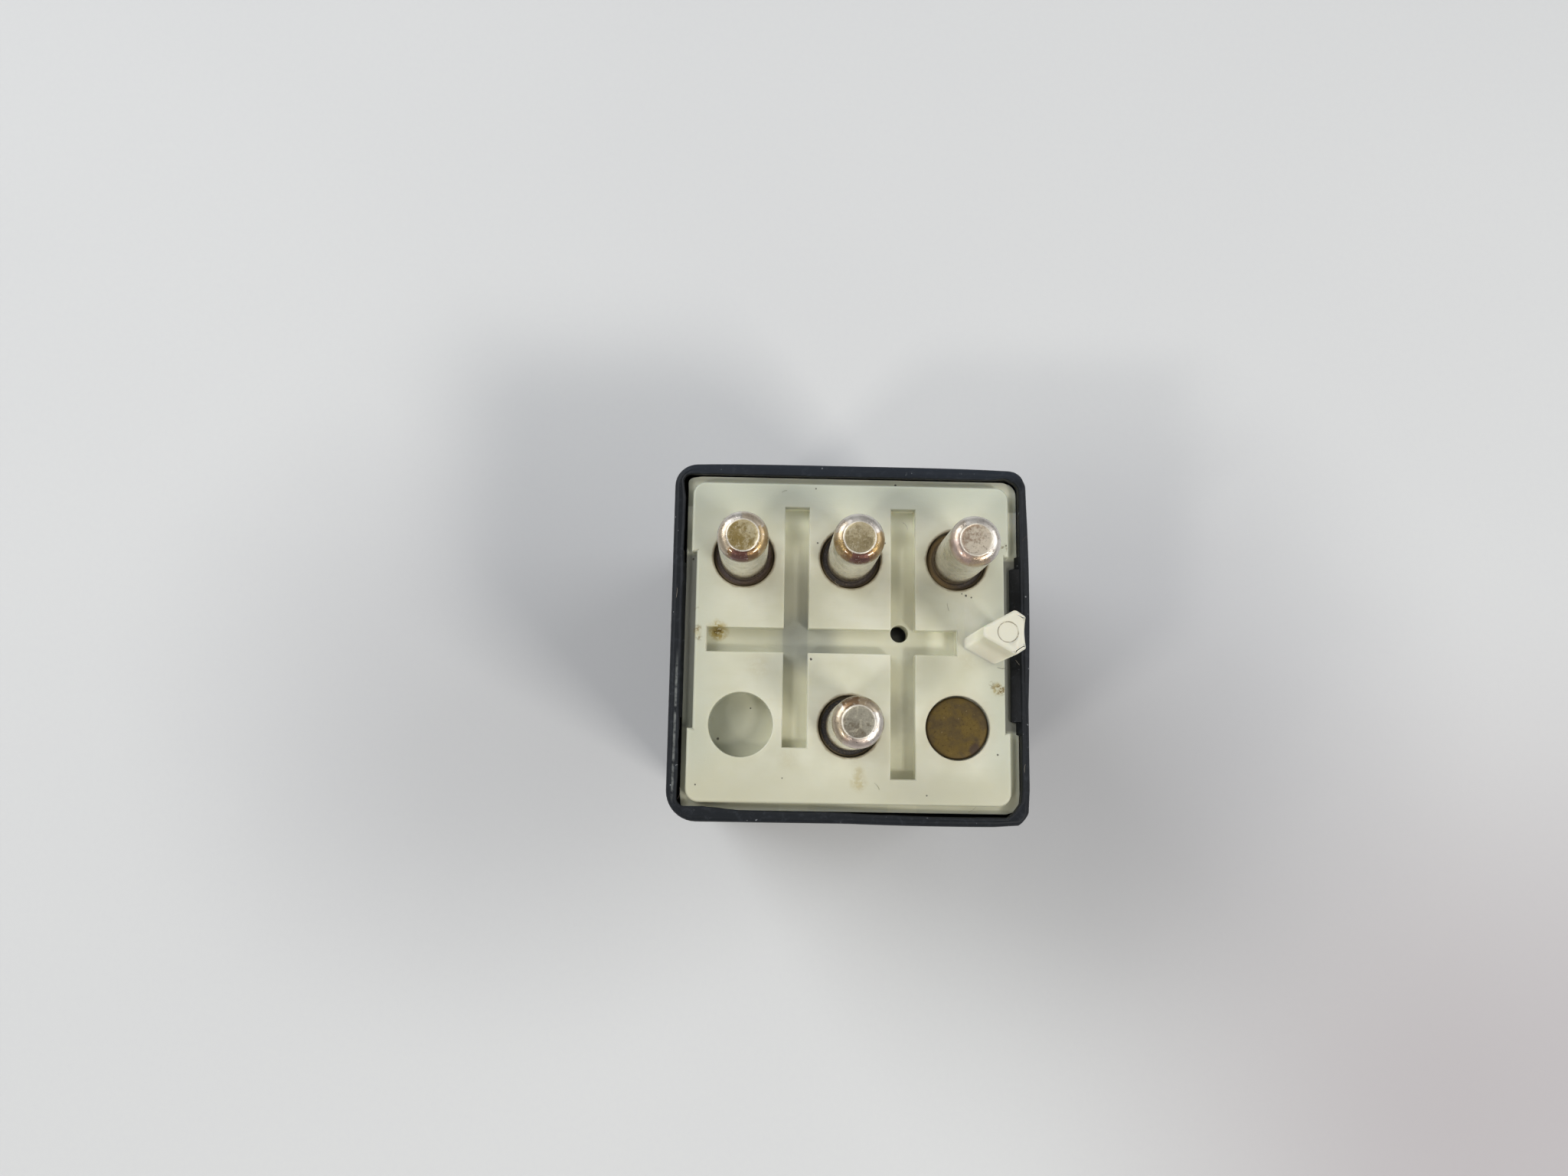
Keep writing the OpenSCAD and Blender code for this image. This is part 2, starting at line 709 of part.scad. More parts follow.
// Lead that leaves the winding's surface and rises along a coil strap
module lead_wire(side) {
    surface = winding_diameter / 2 + lead_radius + 2 * touch;
    end_x = strap_inner - lead_radius - touch;
    around = [for (a = [lead_from : -lead_step : lead_to])
        [surface * cos(a), coil_y + surface * sin(a), z_lead]];
    leaves = around[len(around) - 1];
    turns = [end_x - lead_bend, pin_row - 0.2 * lead_bend, z_lead + 0.25 * lead_bend];
    across = [for (u = [0.15, 0.4, 0.7]) leaves + u * (turns - leaves)];
    up = [[end_x - 0.2 * lead_bend, pin_row, z_lead + 0.75 * lead_bend],
          [end_x, pin_row, z_lead + 1.4 * lead_bend],
          [end_x, pin_row, z_lead + 2 * lead_bend]];
    color("#a3502a") wire([for (p = smooth(concat(around, across, [turns], up), 3)) [side * p.x, p.y, p.z]],
                          lead_radius, [0, 0, 1]);
}

module lead_wire_left() { lead_wire(-1); }
module lead_wire_right() { lead_wire(1); }

// Suppression resistor across the two coil straps, with its bent leads
module resistor() {
    lead = resistor_lead / 2;
    end_x = strap_inner - lead - touch;
    end_y = pin_row - strap_width / 4;
    half = resistor_length / 2;
    lead_path = [[-end_x, end_y], [-end_x, 0], [-end_x, resistor_y + lead_bend],
                 [lead_bend - end_x, resistor_y], [-half, resistor_y], [half, resistor_y],
                 [end_x - lead_bend, resistor_y], [end_x, resistor_y + lead_bend],
                 [end_x, 0], [end_x, end_y]];
    color("#4f8aa6") translate([0, resistor_y, z_resistor]) rotate([0, 90, 0]) {
        cylinder(h = resistor_length, d = resistor_waist, center = true);
        for (side = [-1, 1]) translate([0, 0, side * (half - resistor_cap / 2)])
            cylinder(h = resistor_cap, d = resistor_diameter, center = true);
    }
    color("#b9b3a6") wire(smooth([for (p = lead_path) [p.x, p.y, z_resistor]]), lead, [0, 0, 1]);
}

// ---------- contact circuit ----------

module supply_strap() {
    back = yoke_back + strap_thickness / 2;
    color("#c9a45c") difference() {
        along_x(bracket_width)
            strip([[pin_row - pad_reach, z_under - strap_thickness / 2],
                   [back, z_under - strap_thickness / 2],
                   [back, z_bobbin - supply_drop]], strap_thickness, strap_bend);
        translate([0, pin_row, z_strap - cut]) cylinder(h = strap_thickness + 2 * cut, d = shank_hole);
    }
}

// Copper braid from the yoke's back, round the hinge, to the underside of the blade
module braid() {
    back = yoke_back + braid_radius + touch;
    under = z_blade_under - braid_radius - touch;
    pad = [for (u = [0.5, 1.5]) open_point([braid_x, blade_rear - u * braid_pad, under])];
    color("#b0683a") wire(smooth([[braid_x, back, z_pole + braid_weld],
                                  [braid_x, back, z_pole + 0.4 * braid_weld],
                                  [braid_x, back + 3 * touch, z_pole],
                                  [braid_x, back + 3 * touch, z_blade],
                                  [braid_x, yoke_back + 3 * touch, z_blade - 0.8 * braid_sag],
                                  [braid_x, yoke_back - 0.55 * braid_sag, z_blade - braid_sag],
                                  [braid_x, blade_rear + 0.25 * braid_sag, z_blade - 0.8 * braid_sag],
                                  pad[0], pad[1]]),
                          braid_radius, [1, 0, 0], sides = 10);
}

module load_bracket() {
    color("#c9a45c") difference() {
        along_x(bracket_width)
            strip([[pad_reach - pin_row, z_under - strap_thickness / 2],
                   [-strap_middle, z_under - strap_thickness / 2],
                   [-strap_middle, z_foot + strap_thickness / 2],
                   [foot_end, z_foot + strap_thickness / 2]], strap_thickness, strap_bend);
        translate([0, -pin_row, z_strap - cut]) cylinder(h = strap_thickness + 2 * cut, d = shank_hole);
        translate([0, contact_y, z_foot - cut])
            cylinder(h = strap_thickness + 2 * cut, d = contact_shank + 2 * shank_play);
    }
}

module fixed_contact() {
    color("#d6d2c8") translate([0, contact_y, 0]) {
        translate([0, 0, z_fixed]) cylinder(h = contact_thickness, d = contact_diameter);
        translate([0, 0, z_fixed]) cylinder(h = contact_thickness + strap_thickness, d = contact_shank);
        translate([0, 0, z_foot + strap_thickness])
            cylinder(h = contact_tail, d = contact_shank + head_flare);
    }
}

// Bracket held by the brass rivet; its foot stops the blade when the armature is open
module stop_bracket() {
    foot_y = contact_y + contact_shank;
    foot_z = z_stop - strap_thickness / 2;
    color("#8d8f8c") difference() {
        union() {
            translate([pin_pitch, 0, 0]) along_x(stop_width)
                strip([[pad_reach - pin_row, z_under - strap_thickness / 2],
                       [-strap_middle, z_under - strap_thickness / 2],
                       [-strap_middle, foot_z],
                       [foot_y, foot_z]], strap_thickness, strap_bend);
            translate([-contact_diameter / 2, foot_y - 2 * contact_shank, z_stop - strap_thickness])
                cube([pin_pitch + contact_diameter / 2, 2 * contact_shank, strap_thickness]);
        }
        translate([rivet_place.x, rivet_place.y, z_strap - cut])
            cylinder(h = strap_thickness + 2 * cut, d = shank_hole);
    }
}

// ---------- armature ----------

// Tension spring between the armature's tail and the lug on the yoke's back
module return_spring() {
    tail = open_point([0, spring_y, z_blade]);
    tail_top = open_point([0, spring_y, hinge_z]);
    low = tail.z - hook_gap - spring_wire / 2;
    high = z_lug + lug_height + hook_gap + spring_wire / 2;
    z0 = tail_top.z + hook_length;
    z1 = z_lug - hook_length;
    steps = 12;
    total = spring_coils * steps;
    helix = [for (i = [0 : total])
        let (a = 360 * i / steps, fade = min(1, i / steps * 2, (total - i) / steps * 2))
        [spring_helix * fade * cos(a), spring_y + spring_helix * fade * sin(a), z0 + (z1 - z0) * i / total]];
    color("#9a9c9e") wire(concat([[hook_length, spring_y, low], [spring_wire, spring_y, low],
                                  [0.3 * spring_wire, spring_y, low + 0.3 * spring_wire],
                                  [0, spring_y, low + spring_wire], [0, spring_y, z0 - spring_wire]],
                                 helix,
                                 [[0, spring_y, z1 + spring_wire], [0, spring_y, high - spring_wire],
                                  [-0.3 * spring_wire, spring_y, high - 0.3 * spring_wire],
                                  [-spring_wire, spring_y, high], [-hook_length, spring_y, high]]),
                          spring_wire / 2, [0, 1, 0], sides = 6);
}

module armature() {
    color("#8d8f8c") turn_open() difference() {
        translate([0, 0, z_blade]) linear_extrude(armature_thickness)
            polygon([[armature_chamfer - armature_half, armature_front],
                     [armature_half - armature_chamfer, armature_front],
                     [armature_half, armature_front + armature_chamfer], [armature_half, hinge_y],
                     [tail_half, hinge_y], [tail_half, tail_end],
                     [-tail_half, tail_end], [-tail_half, hinge_y],
                     [-armature_half, hinge_y], [-armature_half, armature_front + armature_chamfer]]);
        translate([0, spring_y, z_blade - cut]) cylinder(h = armature_thickness + 2 * cut, d = hook_hole);
        blade_holes(z_blade - cut, armature_thickness + 2 * cut);
    }
}

module blade_holes(z, height) {
    for (side = [-1, 1]) translate([side * rivet_x, rivet_y, z])
        cylinder(h = height, d = blade_rivet + 2 * shank_play);
}

module contact_blade() {
    tip = contact_diameter / 2 + blade_margin;
    half = blade_width / 2;
    neck = armature_front + blade_taper / 2;
    color("#c98f4e") turn_open() difference() {
        translate([0, 0, z_blade_under]) linear_extrude(blade_thickness)
            polygon(concat([[-tip, neck - blade_taper], [-half, neck], [-half, blade_rear],
                            [half, blade_rear], [half, neck], [tip, neck - blade_taper]],
                           [for (a = [0 : 15 : 180]) [tip * cos(a), contact_y - tip * sin(a)]]));
        blade_holes(z_blade_under - cut, blade_thickness + 2 * cut);
        translate([0, contact_y, z_blade_under - cut])
            cylinder(h = blade_thickness + 2 * cut, d = contact_shank + 2 * shank_play);
    }
}

module blade_rivets() {
    color("#a3a5a2") turn_open() for (side = [-1, 1]) translate([side * rivet_x, rivet_y, 0]) {
        translate([0, 0, z_blade_under - head_height])
            cylinder(h = head_height, d = blade_rivet + head_flare);
        translate([0, 0, z_blade_under - head_height / 2])
            cylinder(h = head_height / 2 + blade_thickness + armature_thickness - touch, d = blade_rivet);
    }
}

module moving_contact() {
    color("#d6d2c8") turn_open() translate([0, contact_y, 0]) {
        translate([0, 0, z_blade]) cylinder(h = contact_thickness, d = contact_diameter);
        translate([0, 0, z_blade_under - contact_tail])
            cylinder(h = contact_tail + blade_thickness + contact_thickness / 2, d = contact_shank);
    }
}

cover();
base();
coil_pin_left();
coil_pin_right();
supply_pin();
load_pin();
stop_rivet();
yoke();
core();
bobbin();
coil_winding();
coil_strap_left();
coil_strap_right();
lead_wire_left();
lead_wire_right();
resistor();
supply_strap();
braid();
load_bracket();
fixed_contact();
stop_bracket();
return_spring();
armature();
contact_blade();
blade_rivets();
moving_contact();
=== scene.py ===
import math
import random

import bmesh
import bpy
from mathutils import Matrix, Vector, noise


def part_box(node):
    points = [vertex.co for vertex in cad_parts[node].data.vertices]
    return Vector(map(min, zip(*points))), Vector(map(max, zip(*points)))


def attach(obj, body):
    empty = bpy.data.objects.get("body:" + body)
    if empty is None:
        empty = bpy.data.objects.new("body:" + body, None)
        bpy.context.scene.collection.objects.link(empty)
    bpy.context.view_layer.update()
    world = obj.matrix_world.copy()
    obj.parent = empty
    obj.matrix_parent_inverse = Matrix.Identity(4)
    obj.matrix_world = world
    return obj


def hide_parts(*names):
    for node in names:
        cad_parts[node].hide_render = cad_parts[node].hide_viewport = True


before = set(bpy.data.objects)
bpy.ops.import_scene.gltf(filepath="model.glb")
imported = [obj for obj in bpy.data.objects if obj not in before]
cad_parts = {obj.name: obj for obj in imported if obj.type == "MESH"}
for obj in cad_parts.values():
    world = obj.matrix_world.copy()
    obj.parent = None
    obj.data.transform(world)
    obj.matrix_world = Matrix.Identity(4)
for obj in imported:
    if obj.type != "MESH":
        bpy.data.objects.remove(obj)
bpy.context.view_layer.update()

# ---------------------------------------------------------------------------
# Camera. It looks down on the contact side from a hand's height, a little to
# the left of and in front of the relay, so the pins lean away from it.
# ---------------------------------------------------------------------------

MM = 0.001
low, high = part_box("cover")
face_z = high[2]
camera_offset = Vector((-7.56, -10.62, 97.91)) * MM
camera_tilt = (Matrix.Rotation(math.radians(8.72), 4, "X") @ Matrix.Rotation(math.radians(-1.14), 4, "Y")
               @ Matrix.Rotation(math.radians(1.13), 4, "Z"))

camera_data = bpy.data.cameras.new("camera")
camera_data.sensor_width = 36
camera_data.lens = 27.07
camera_data.clip_start = 0.005
camera = bpy.data.objects.new("camera", camera_data)
camera.matrix_world = Matrix.Translation(Vector((0, 0, face_z)) + camera_offset) @ camera_tilt
bpy.context.collection.objects.link(camera)
bpy.context.scene.camera = camera

# ---------------------------------------------------------------------------
# Table and light. The relay stands on a sheet of pale grey-lilac card; a broad
# window lies behind it, and two small lamps in front put the glints on the pins.
# ---------------------------------------------------------------------------


class Field:
    """A value that varies over a surface. Arithmetic on fields adds Math nodes."""

    def __init__(self, nodes, socket):
        self.nodes = nodes
        self.socket = socket

    def math(self, operation, *values):
        return self.nodes.node("ShaderNodeMath", {"operation": operation}, dict(enumerate(values)))

    def __add__(self, other):
        return self.math("ADD", self, other)

    def __sub__(self, other):
        return self.math("SUBTRACT", self, other)

    def __rsub__(self, other):
        return self.math("SUBTRACT", other, self)

    def __mul__(self, other):
        return self.math("MULTIPLY", self, other)

    def __truediv__(self, other):
        return self.math("DIVIDE", self, other)

    def __pow__(self, other):
        return self.math("POWER", self, other)

    def __abs__(self):
        return self.math("ABSOLUTE", self)

    __radd__ = __add__
    __rmul__ = __mul__

    def least(self, other):
        return self.math("MINIMUM", self, other)

    def most(self, other):
        return self.math("MAXIMUM", self, other)

    def rise(self, start, end):
        """Goes softly from 0 at start to 1 at end, whichever of them is the greater."""
        falls = start > end
        sockets = {0: self, 1: min(start, end), 2: max(start, end), 3: float(falls), 4: float(not falls)}
        return self.nodes.node("ShaderNodeMapRange", {"interpolation_type": "SMOOTHSTEP"}, sockets)


class Nodes:
    """Adds nodes to one node tree; each comes back as a Field."""

    def __init__(self, tree):
        self.tree = tree

    def node(self, kind, settings, sockets, output=0):
        """Adds a node: its settings first, and then a value or a link for each of the sockets named."""
        node = self.tree.nodes.new(kind)
        for name, value in settings.items():
            setattr(node, name, value)
        for name, value in sockets.items():
            if isinstance(value, Field):
                self.tree.links.new(value.socket, node.inputs[name])
            else:
                node.inputs[name].default_value = value
        return Field(self, node.outputs[output])

    def split(self, vector):
        """The x, y and z of a vector, each as a Field."""
        return [self.node("ShaderNodeSeparateXYZ", {}, {0: vector}, axis) for axis in "XYZ"]

    def blend(self, mask, colour, other):
        """colour where mask is 0 and other where it is 1."""
        settings = {"data_type": "RGBA", "blend_type": "MIX", "clamp_factor": True}
        return self.node("ShaderNodeMix", settings, {0: mask, 6: colour, 7: other}, 2)


def srgb(red, green, blue):
    """Linear colour of a colour given as 0 to 255 on a screen."""
    def linear(value):
        value /= 255
        return value / 12.92 if value <= 0.04045 else ((value + 0.055) / 1.055) ** 2.4
    return (linear(red), linear(green), linear(blue), 1.0)


class Finish(Nodes):
    """A procedural material on a Principled shader. Its places are in millimetres in the CAD's frame."""

    def __init__(self, name, **uniform):
        self.material = bpy.data.materials.new(name)
        self.material.use_nodes = True
        super().__init__(self.material.node_tree)
        self.shader = self.tree.nodes["Principled BSDF"]
        for socket, value in uniform.items():
            self.shader.inputs[socket.replace("_", " ")].default_value = value
        coordinates = self.node("ShaderNodeTexCoord", {}, {}, "Object")
        self.place = self.node("ShaderNodeVectorMath", {"operation": "SCALE"}, {0: coordinates, 3: 1 / MM})
        self.x, self.y, self.z = self.split(self.place)

    def grain(self, scale, detail=2.0, roughness=0.5, shift=0.0, stretch=None, distortion=0.0):
        """Noise from 0 to 1, with scale waves a millimetre."""
        place = self.place
        if stretch:
            place = self.node("ShaderNodeVectorMath", {"operation": "MULTIPLY"}, {0: place, 1: stretch})
        if shift:
            offset = (shift, -shift, shift / 2)
            place = self.node("ShaderNodeVectorMath", {"operation": "ADD"}, {0: place, 1: offset})
        return self.node("ShaderNodeTexNoise", {}, {"Vector": place, "Scale": scale, "Detail": detail,
                                                    "Roughness": roughness, "Distortion": distortion})

    def distance(self, x, y, wobble=0.0, scale=1.0):
        """Distance from a place seen from above, with a wandering outline."""
        across = self.x - x
        along = self.y - y
        length = (across * across + along * along) ** 0.5
        if not wobble:
            return length
        return length + (self.grain(scale, 3, 0.6, shift=x - y) - 0.5) * (2 * wobble)

    def spot(self, x, y, radius, soft, wobble=0.0, scale=1.0):
        """1 within the radius of a place seen from above, and 0 beyond the soft edge."""
        return self.distance(x, y, wobble, scale).rise(radius + soft, radius)

    def bump(self, height, distance, strength=1.0, normal=None):
        """Surface relief from a height field, with its depth in millimetres."""
        sockets = {"Height": height, "Distance": distance * MM, "Strength": strength}
        if normal:
            sockets["Normal"] = normal
        return self.node("ShaderNodeBump", {}, sockets)

    def show(self, **fields):
        """Links fields to the shader's sockets."""
        for socket, field in fields.items():
            self.tree.links.new(field.socket, self.shader.inputs[socket.replace("_", " ")])


def new_object(name, mesh):
    """A mesh as an object of the scene."""
    made = bpy.data.objects.new(name, mesh)
    bpy.context.collection.objects.link(made)
    return made


card = Finish("pale_card", Specular_IOR_Level=0.2)
fibres = card.grain(1.5, 6, 0.65)
clouds = card.grain(0.012, 2)
card_tone = card.blend(clouds, srgb(206, 208, 209), srgb(213, 215, 215))
card_tone = card.blend(fibres.rise(0.3, 0.8) * 0.1, card_tone, srgb(196, 196, 204))
# painted shade: the card is painted darker towards the far right front
far_right_shade = card.x.rise(15, 75) * card.y.rise(20, -50)
card_tone = card.blend(far_right_shade * 0.7, card_tone, srgb(172, 166, 169))
# painted shadows of the relay: soft dark patches on the card to its right and left
for shade_x, strength in ((36, 0.44), (-40, 0.3)):
    card_tone = card.blend(card.spot(shade_x, -1, 10, 36, 4, 0.03) * strength, card_tone, srgb(158, 159, 164))
card.show(Base_Color=card_tone, Roughness=fibres * 0.1 + 0.6, Normal=card.bump(fibres, 0.02, 0.3))

table = new_object("table", bpy.data.meshes.new("table"))
table_half = 900 * MM
table_corners = [(-table_half, -table_half), (table_half, -table_half),
                 (table_half, table_half), (-table_half, table_half)]
table.data.from_pydata([(x, y, low[2]) for x, y in table_corners], [], [(0, 1, 2, 3)])
table.data.materials.append(card.material)


def lamp(name, place, size, power, tint):
    """Square area lamp aimed at the middle of the relay."""
    data = bpy.data.lights.new(name, "AREA")
    data.size = size * MM
    data.energy = power
    data.color = tint
    made = bpy.data.objects.new(name, data)
    made.location = Vector(place) * MM
    made.rotation_euler = (Vector((0, 0, face_z / 2)) - made.location).to_track_quat("-Z", "Y").to_euler()
    bpy.context.collection.objects.link(made)


lamp("window", (-390, 270, 430), 380, 2.02, (0.98, 0.985, 1.0))
lamp("far_window", (430, 150, 400), 300, 0.7, (0.99, 0.985, 1.0))
lamp("lamp_right", (270, -230, 430), 120, 1.14, (1.0, 0.96, 0.9))
lamp("lamp_left", (-270, -230, 430), 60, 0.48, (1.0, 0.95, 0.88))

world = bpy.data.worlds.new("room")
world.use_nodes = True
room = Nodes(world.node_tree)
_, north, up = room.split(room.node("ShaderNodeTexCoord", {}, {}, "Generated"))
overhead = up.rise(0.86, 0.985)
dim_front = up.rise(0.35, 0.75) * north.rise(-0.05, -0.6)
room_tone = room.blend(up.rise(0.1, 0.8) * north.rise(-0.2, 0.6), srgb(214, 216, 220), srgb(238, 239, 242))
room_tone = room.blend(dim_front * 0.55, room_tone, srgb(96, 84, 76))
room_tone = room.blend(overhead * 0.75, room_tone, srgb(70, 72, 78))
background = room.tree.nodes["Background"]
room.tree.links.new(room_tone.socket, background.inputs["Color"])
background.inputs["Strength"].default_value = 0.5
bpy.context.scene.world = world
bpy.context.scene.view_settings.view_transform = "Standard"

# ---------------------------------------------------------------------------
# Cover: a deep cup moulded in charcoal plastic. Its rim stands round the base,
# and a barb along each side of the rim snaps over the base's flange.
# ---------------------------------------------------------------------------

cover_half = high[0] / MM
cover_top = face_z / MM
platform_rise = 1.1
flange_thickness = 1.5
rim_wall = 0.75
cover_wall = 1.3
floor_z = 1.4
flange_z = cover_top - platform_rise
ledge_z = flange_z - flange_thickness
rim_inner = cover_half - rim_wall
cavity_half = cover_half - cover_wall

# A barb has its full depth as far as full_barb from the middle of its side, and less from there to barb_end.
# The points along each side lie closer together where it steps.
full_barb = 6.5
barb_end = 7.55
cover_stops = sorted([i * 0.5 for i in range(-24, 25) if abs(i) not in (13, 15)]
                     + [-7.6, -7.5, -6.55, -6.45, 6.45, 6.55, 7.5, 7.6])
corner_steps = 10
round_steps = 6
right_side, back_side, left_side, front_side = range(4)
barb_depths = {right_side: (0.62, 0.28), left_side: (0.3, 0.12)}

# radius and bluntness of the corners: back right, back left, front left, front right
outer_corners = [(1.5, 1.15), (1.9, 1.0), (2.5, 1.0), (0.8, 1.3)]
lip_corners = [(1.2, 1.1), (0.6, 1.1), (0.6, 1.1), (1.0, 1.8)]
inner_corners = [(0.55, 1.3), (0.45, 1.2), (0.7, 1.1), (0.6, 1.7)]


def outline(half, corners, inset):
    """Points round a square whose corners differ: x, y, side, and place along it or None in a corner."""
    points = []
    turn = [(1, 0), (0, 1), (-1, 0), (0, -1)]
    for side, (c, s) in enumerate(turn):
        local = [(half, stop) for stop in cover_stops]
        radius, bluntness = corners[side]
        radius = max(radius - inset, 0.05)
        for i in range(corner_steps + 1):
            a = math.pi / 2 * i / corner_steps
            local.append((half - radius + radius * math.cos(a) ** bluntness,
                          half - radius + radius * math.sin(a) ** bluntness))
        points += [(x * c - y * s, x * s + y * c, side, y if i < len(cover_stops) else None)
                   for i, (x, y) in enumerate(local)]
    return points


def cover_rings():
    """Rings from the middle of the closed end, up the outside, over the rim and down the inside.

    Each is half width, corners, corner inset, height, how far it follows the rim's wear, and barb."""
    fillet = 1.2
    lip = 0.42
    quarter_turn = [math.pi / 2 * i / round_steps for i in range(round_steps + 1)]
    rings = [(cover_half - 4, outer_corners, 1.6, 0, 0, 0)]
    for a in quarter_turn:
        inset = fillet * (1 - math.sin(a))
        rings.append((cover_half - inset, outer_corners, inset, fillet * (1 - math.cos(a)), 0, 0))
    rings += [(cover_half, outer_corners, 0, z, 0, 0) for z in (4, 10, 18, 26, 33, 37.5)]
    for i, a in enumerate(quarter_turn):
        inset = lip * (1 - math.cos(a))
        height = cover_top - lip * (1 - math.sin(a))
        rings.append((cover_half - inset, outer_corners, inset, height, 0.1 * i / round_steps, 0))
    for inset, sink, follow in ((0.30, 0.02, 0.3), (0.22, 0.05, 0.6), (0.16, 0.03, 0.8), (0.10, 0.0, 1),
                                (0.05, 0.02, 1), (0.0, 0.1, 1)):
        rings.append((rim_inner + inset, lip_corners, -inset, cover_top - sink, follow, 0))
    rings += [(rim_inner, lip_corners, 0, flange_z + 0.85, 0.8, 0),
              (rim_inner, lip_corners, 0, flange_z + 0.32, 0.5, 1),
              (rim_inner, inner_corners, 0, flange_z + 0.06, 0, 1),
              (rim_inner, inner_corners, 0, flange_z + 0.02, 0, 0),
              (rim_inner, inner_corners, 0, ledge_z, 0, 0)]
    rings += [(cavity_half, inner_corners, 0, z, 0, 0) for z in (ledge_z, 20, floor_z + 0.2)]
    rings += [(cavity_half - inset, inner_corners, 0.2, floor_z, 0, 0) for inset in (0.2, 4)]
    return rings


def cover_point(x, y, z, side, along, wear, barb):
    """Moves a point of the true square to where the moulding has shrunk, bulged or worn."""
    if wear:
        # how far the rim's inner edge stands in over the flange: right, back, left and front
        lean = (0.0, 0.16, 0.19, 0.14 - 0.012 * x + 0.08 * max(0.0, -9 - x))[side]
        ripple = (0.05 * noise.noise(Vector((x * 0.3, y * 0.3, 3.1)))
                  + 0.03 * noise.noise(Vector((x, y, 8.0)))
                  + 0.03 * noise.noise(Vector((x * 2.3, y * 2.3, 5.0))))
        inward = wear * (lean + ripple)
        z -= wear * 0.12 * max(0.0, noise.noise(Vector((x * 1.7, y * 1.7, 1.0))) - 0.25)
        if side == left_side:
            # its corner leads over to the front, which leans in further
            y += wear * 0.5 * min(1.0, max(0.0, (-12.6 - y) / 1.2))
        if side in (right_side, left_side):
            x -= math.copysign(inward, x)
        else:
            y -= math.copysign(inward, y)
    swell = min(1.0, z / cover_top)
    near_rim = z > ledge_z - 0.01
    if barb and along is not None and side in barb_depths and abs(along) <= barb_end:
        full_depth, end_depth = barb_depths[side]
        x -= math.copysign(full_depth if abs(along) < full_barb else end_depth, x)
    if side == right_side and near_rim and rim_inner - 0.5 < x < rim_inner + 0.35:
        x += 0.1
    if side == right_side and z > 4 and x > rim_inner + 0.45:
        x += 0.2 * max(0.0, 1 - ((y - 4) / 9) ** 2) * swell
    if side == back_side and z > 4 and y > rim_inner + 0.2:
        y += 0.13 * max(0.0, 1 - (x / 13.5) ** 4) * swell
    if side == front_side and near_rim and y < 0.5 - rim_inner:
        y -= 0.1 * max(0.0, 1 - ((x - 8) / 8) ** 2)
    if z > 4 and x > 13 and y < -12.4:
        # the front right corner is cut back at a slant
        y += 0.37 * max(0.0, x - 13.9) * swell
        x -= 0.08 * max(0.0, -12.4 - y) * swell
    return Vector((x, y, z)) * MM


def ringed_mesh(name, rings):
    """Closed mesh through rings of points, capped at its first and last ring."""
    mesh = bmesh.new()
    rows = [[mesh.verts.new(point) for point in ring] for ring in rings]
    count = len(rows[0])
    for lower, upper in zip(rows, rows[1:]):
        for i in range(count):
            j = (i + 1) % count
            mesh.faces.new((lower[i], lower[j], upper[j], upper[i]))
    mesh.faces.new(list(reversed(rows[0])))
    mesh.faces.new(rows[-1])
    bmesh.ops.remove_doubles(mesh, verts=mesh.verts, dist=1e-7)
    bmesh.ops.recalc_face_normals(mesh, faces=mesh.faces)
    data = bpy.data.meshes.new(name)
    mesh.to_mesh(data)
    mesh.free()
    return data


def smooth(data, angle=35):
    """Smooth shading, with the edges sharper than the angle left crisp."""
    data.polygons.foreach_set("use_smooth", [True] * len(data.polygons))
    data.set_sharp_from_angle(angle=math.radians(angle))


cover_mesh = ringed_mesh("cover_shell", [
    [cover_point(x, y, z, side, along, wear, barb) for x, y, side, along in outline(half, corners, inset)]
    for half, corners, inset, z, wear, barb in cover_rings()])
smooth(cover_mesh)
cover = new_object("cover_shell", cover_mesh)

plastic = Finish("charcoal_plastic", Specular_IOR_Level=0.2)
cloudy = plastic.grain(0.35, 4, 0.6)
fine = plastic.grain(9, 3, 0.6)
scuffs = plastic.grain(1.9, 5, 0.7, stretch=(1, 1, 0.35), distortion=0.6).rise(0.5, 0.7)
nicks = plastic.grain(2.6, 2, 0.5, shift=7).rise(0.70, 0.76)
on_lip = plastic.z.rise(cover_top - 0.9, cover_top - 0.1)
charcoal = plastic.blend(cloudy, srgb(20, 23, 26), srgb(28, 32, 37))
charcoal = plastic.blend(plastic.z.rise(cover_top - 0.15, cover_top - 0.5) * 0.7, charcoal, srgb(12, 13, 15))
charcoal = plastic.blend(scuffs * 0.24, charcoal, srgb(66, 71, 78))
charcoal = plastic.blend(nicks * (on_lip * 0.4 + 0.12), charcoal, srgb(170, 174, 178))
back_lip = on_lip * plastic.y.rise(13.8, 14.6)
charcoal = plastic.blend(back_lip * 0.3, charcoal, srgb(46, 54, 66))
# painted highlight: a light line along the inner edge of the left lip, where the leaning rim catches the
# light
lip_glint_line = (abs(plastic.x + 14.36 - plastic.y * 0.008).rise(0.14, 0.04) * plastic.y.rise(-0.5, -3.5)
             * plastic.y.rise(-13.6, -12.4) * on_lip * plastic.grain(1.3, 4, 0.7, shift=3).rise(0.34, 0.6))
charcoal = plastic.blend(lip_glint_line * 0.6, charcoal, srgb(132, 136, 134))
plastic.show(Base_Color=charcoal, Roughness=cloudy * 0.14 + scuffs * 0.12 + 0.4,
             Normal=plastic.bump(fine, 0.02, 0.5, plastic.bump(cloudy, 0.12, 0.5)))
cover.data.materials.append(plastic.material)
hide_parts("cover")
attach(cover, "housing")

# ---------------------------------------------------------------------------
# Base: one moulding in natural nylon, pale ivory and a little translucent, with
# its grooves, pockets and key lug. Its flange snaps in under the cover's barbs.
# ---------------------------------------------------------------------------

base_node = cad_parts["base"]
key_foot_x = 9.4
key_back_x = 12.9
widest_edge = 0.3
flange_edge = 13.6
flange_creep = 0.12
flange_corner = 12.9


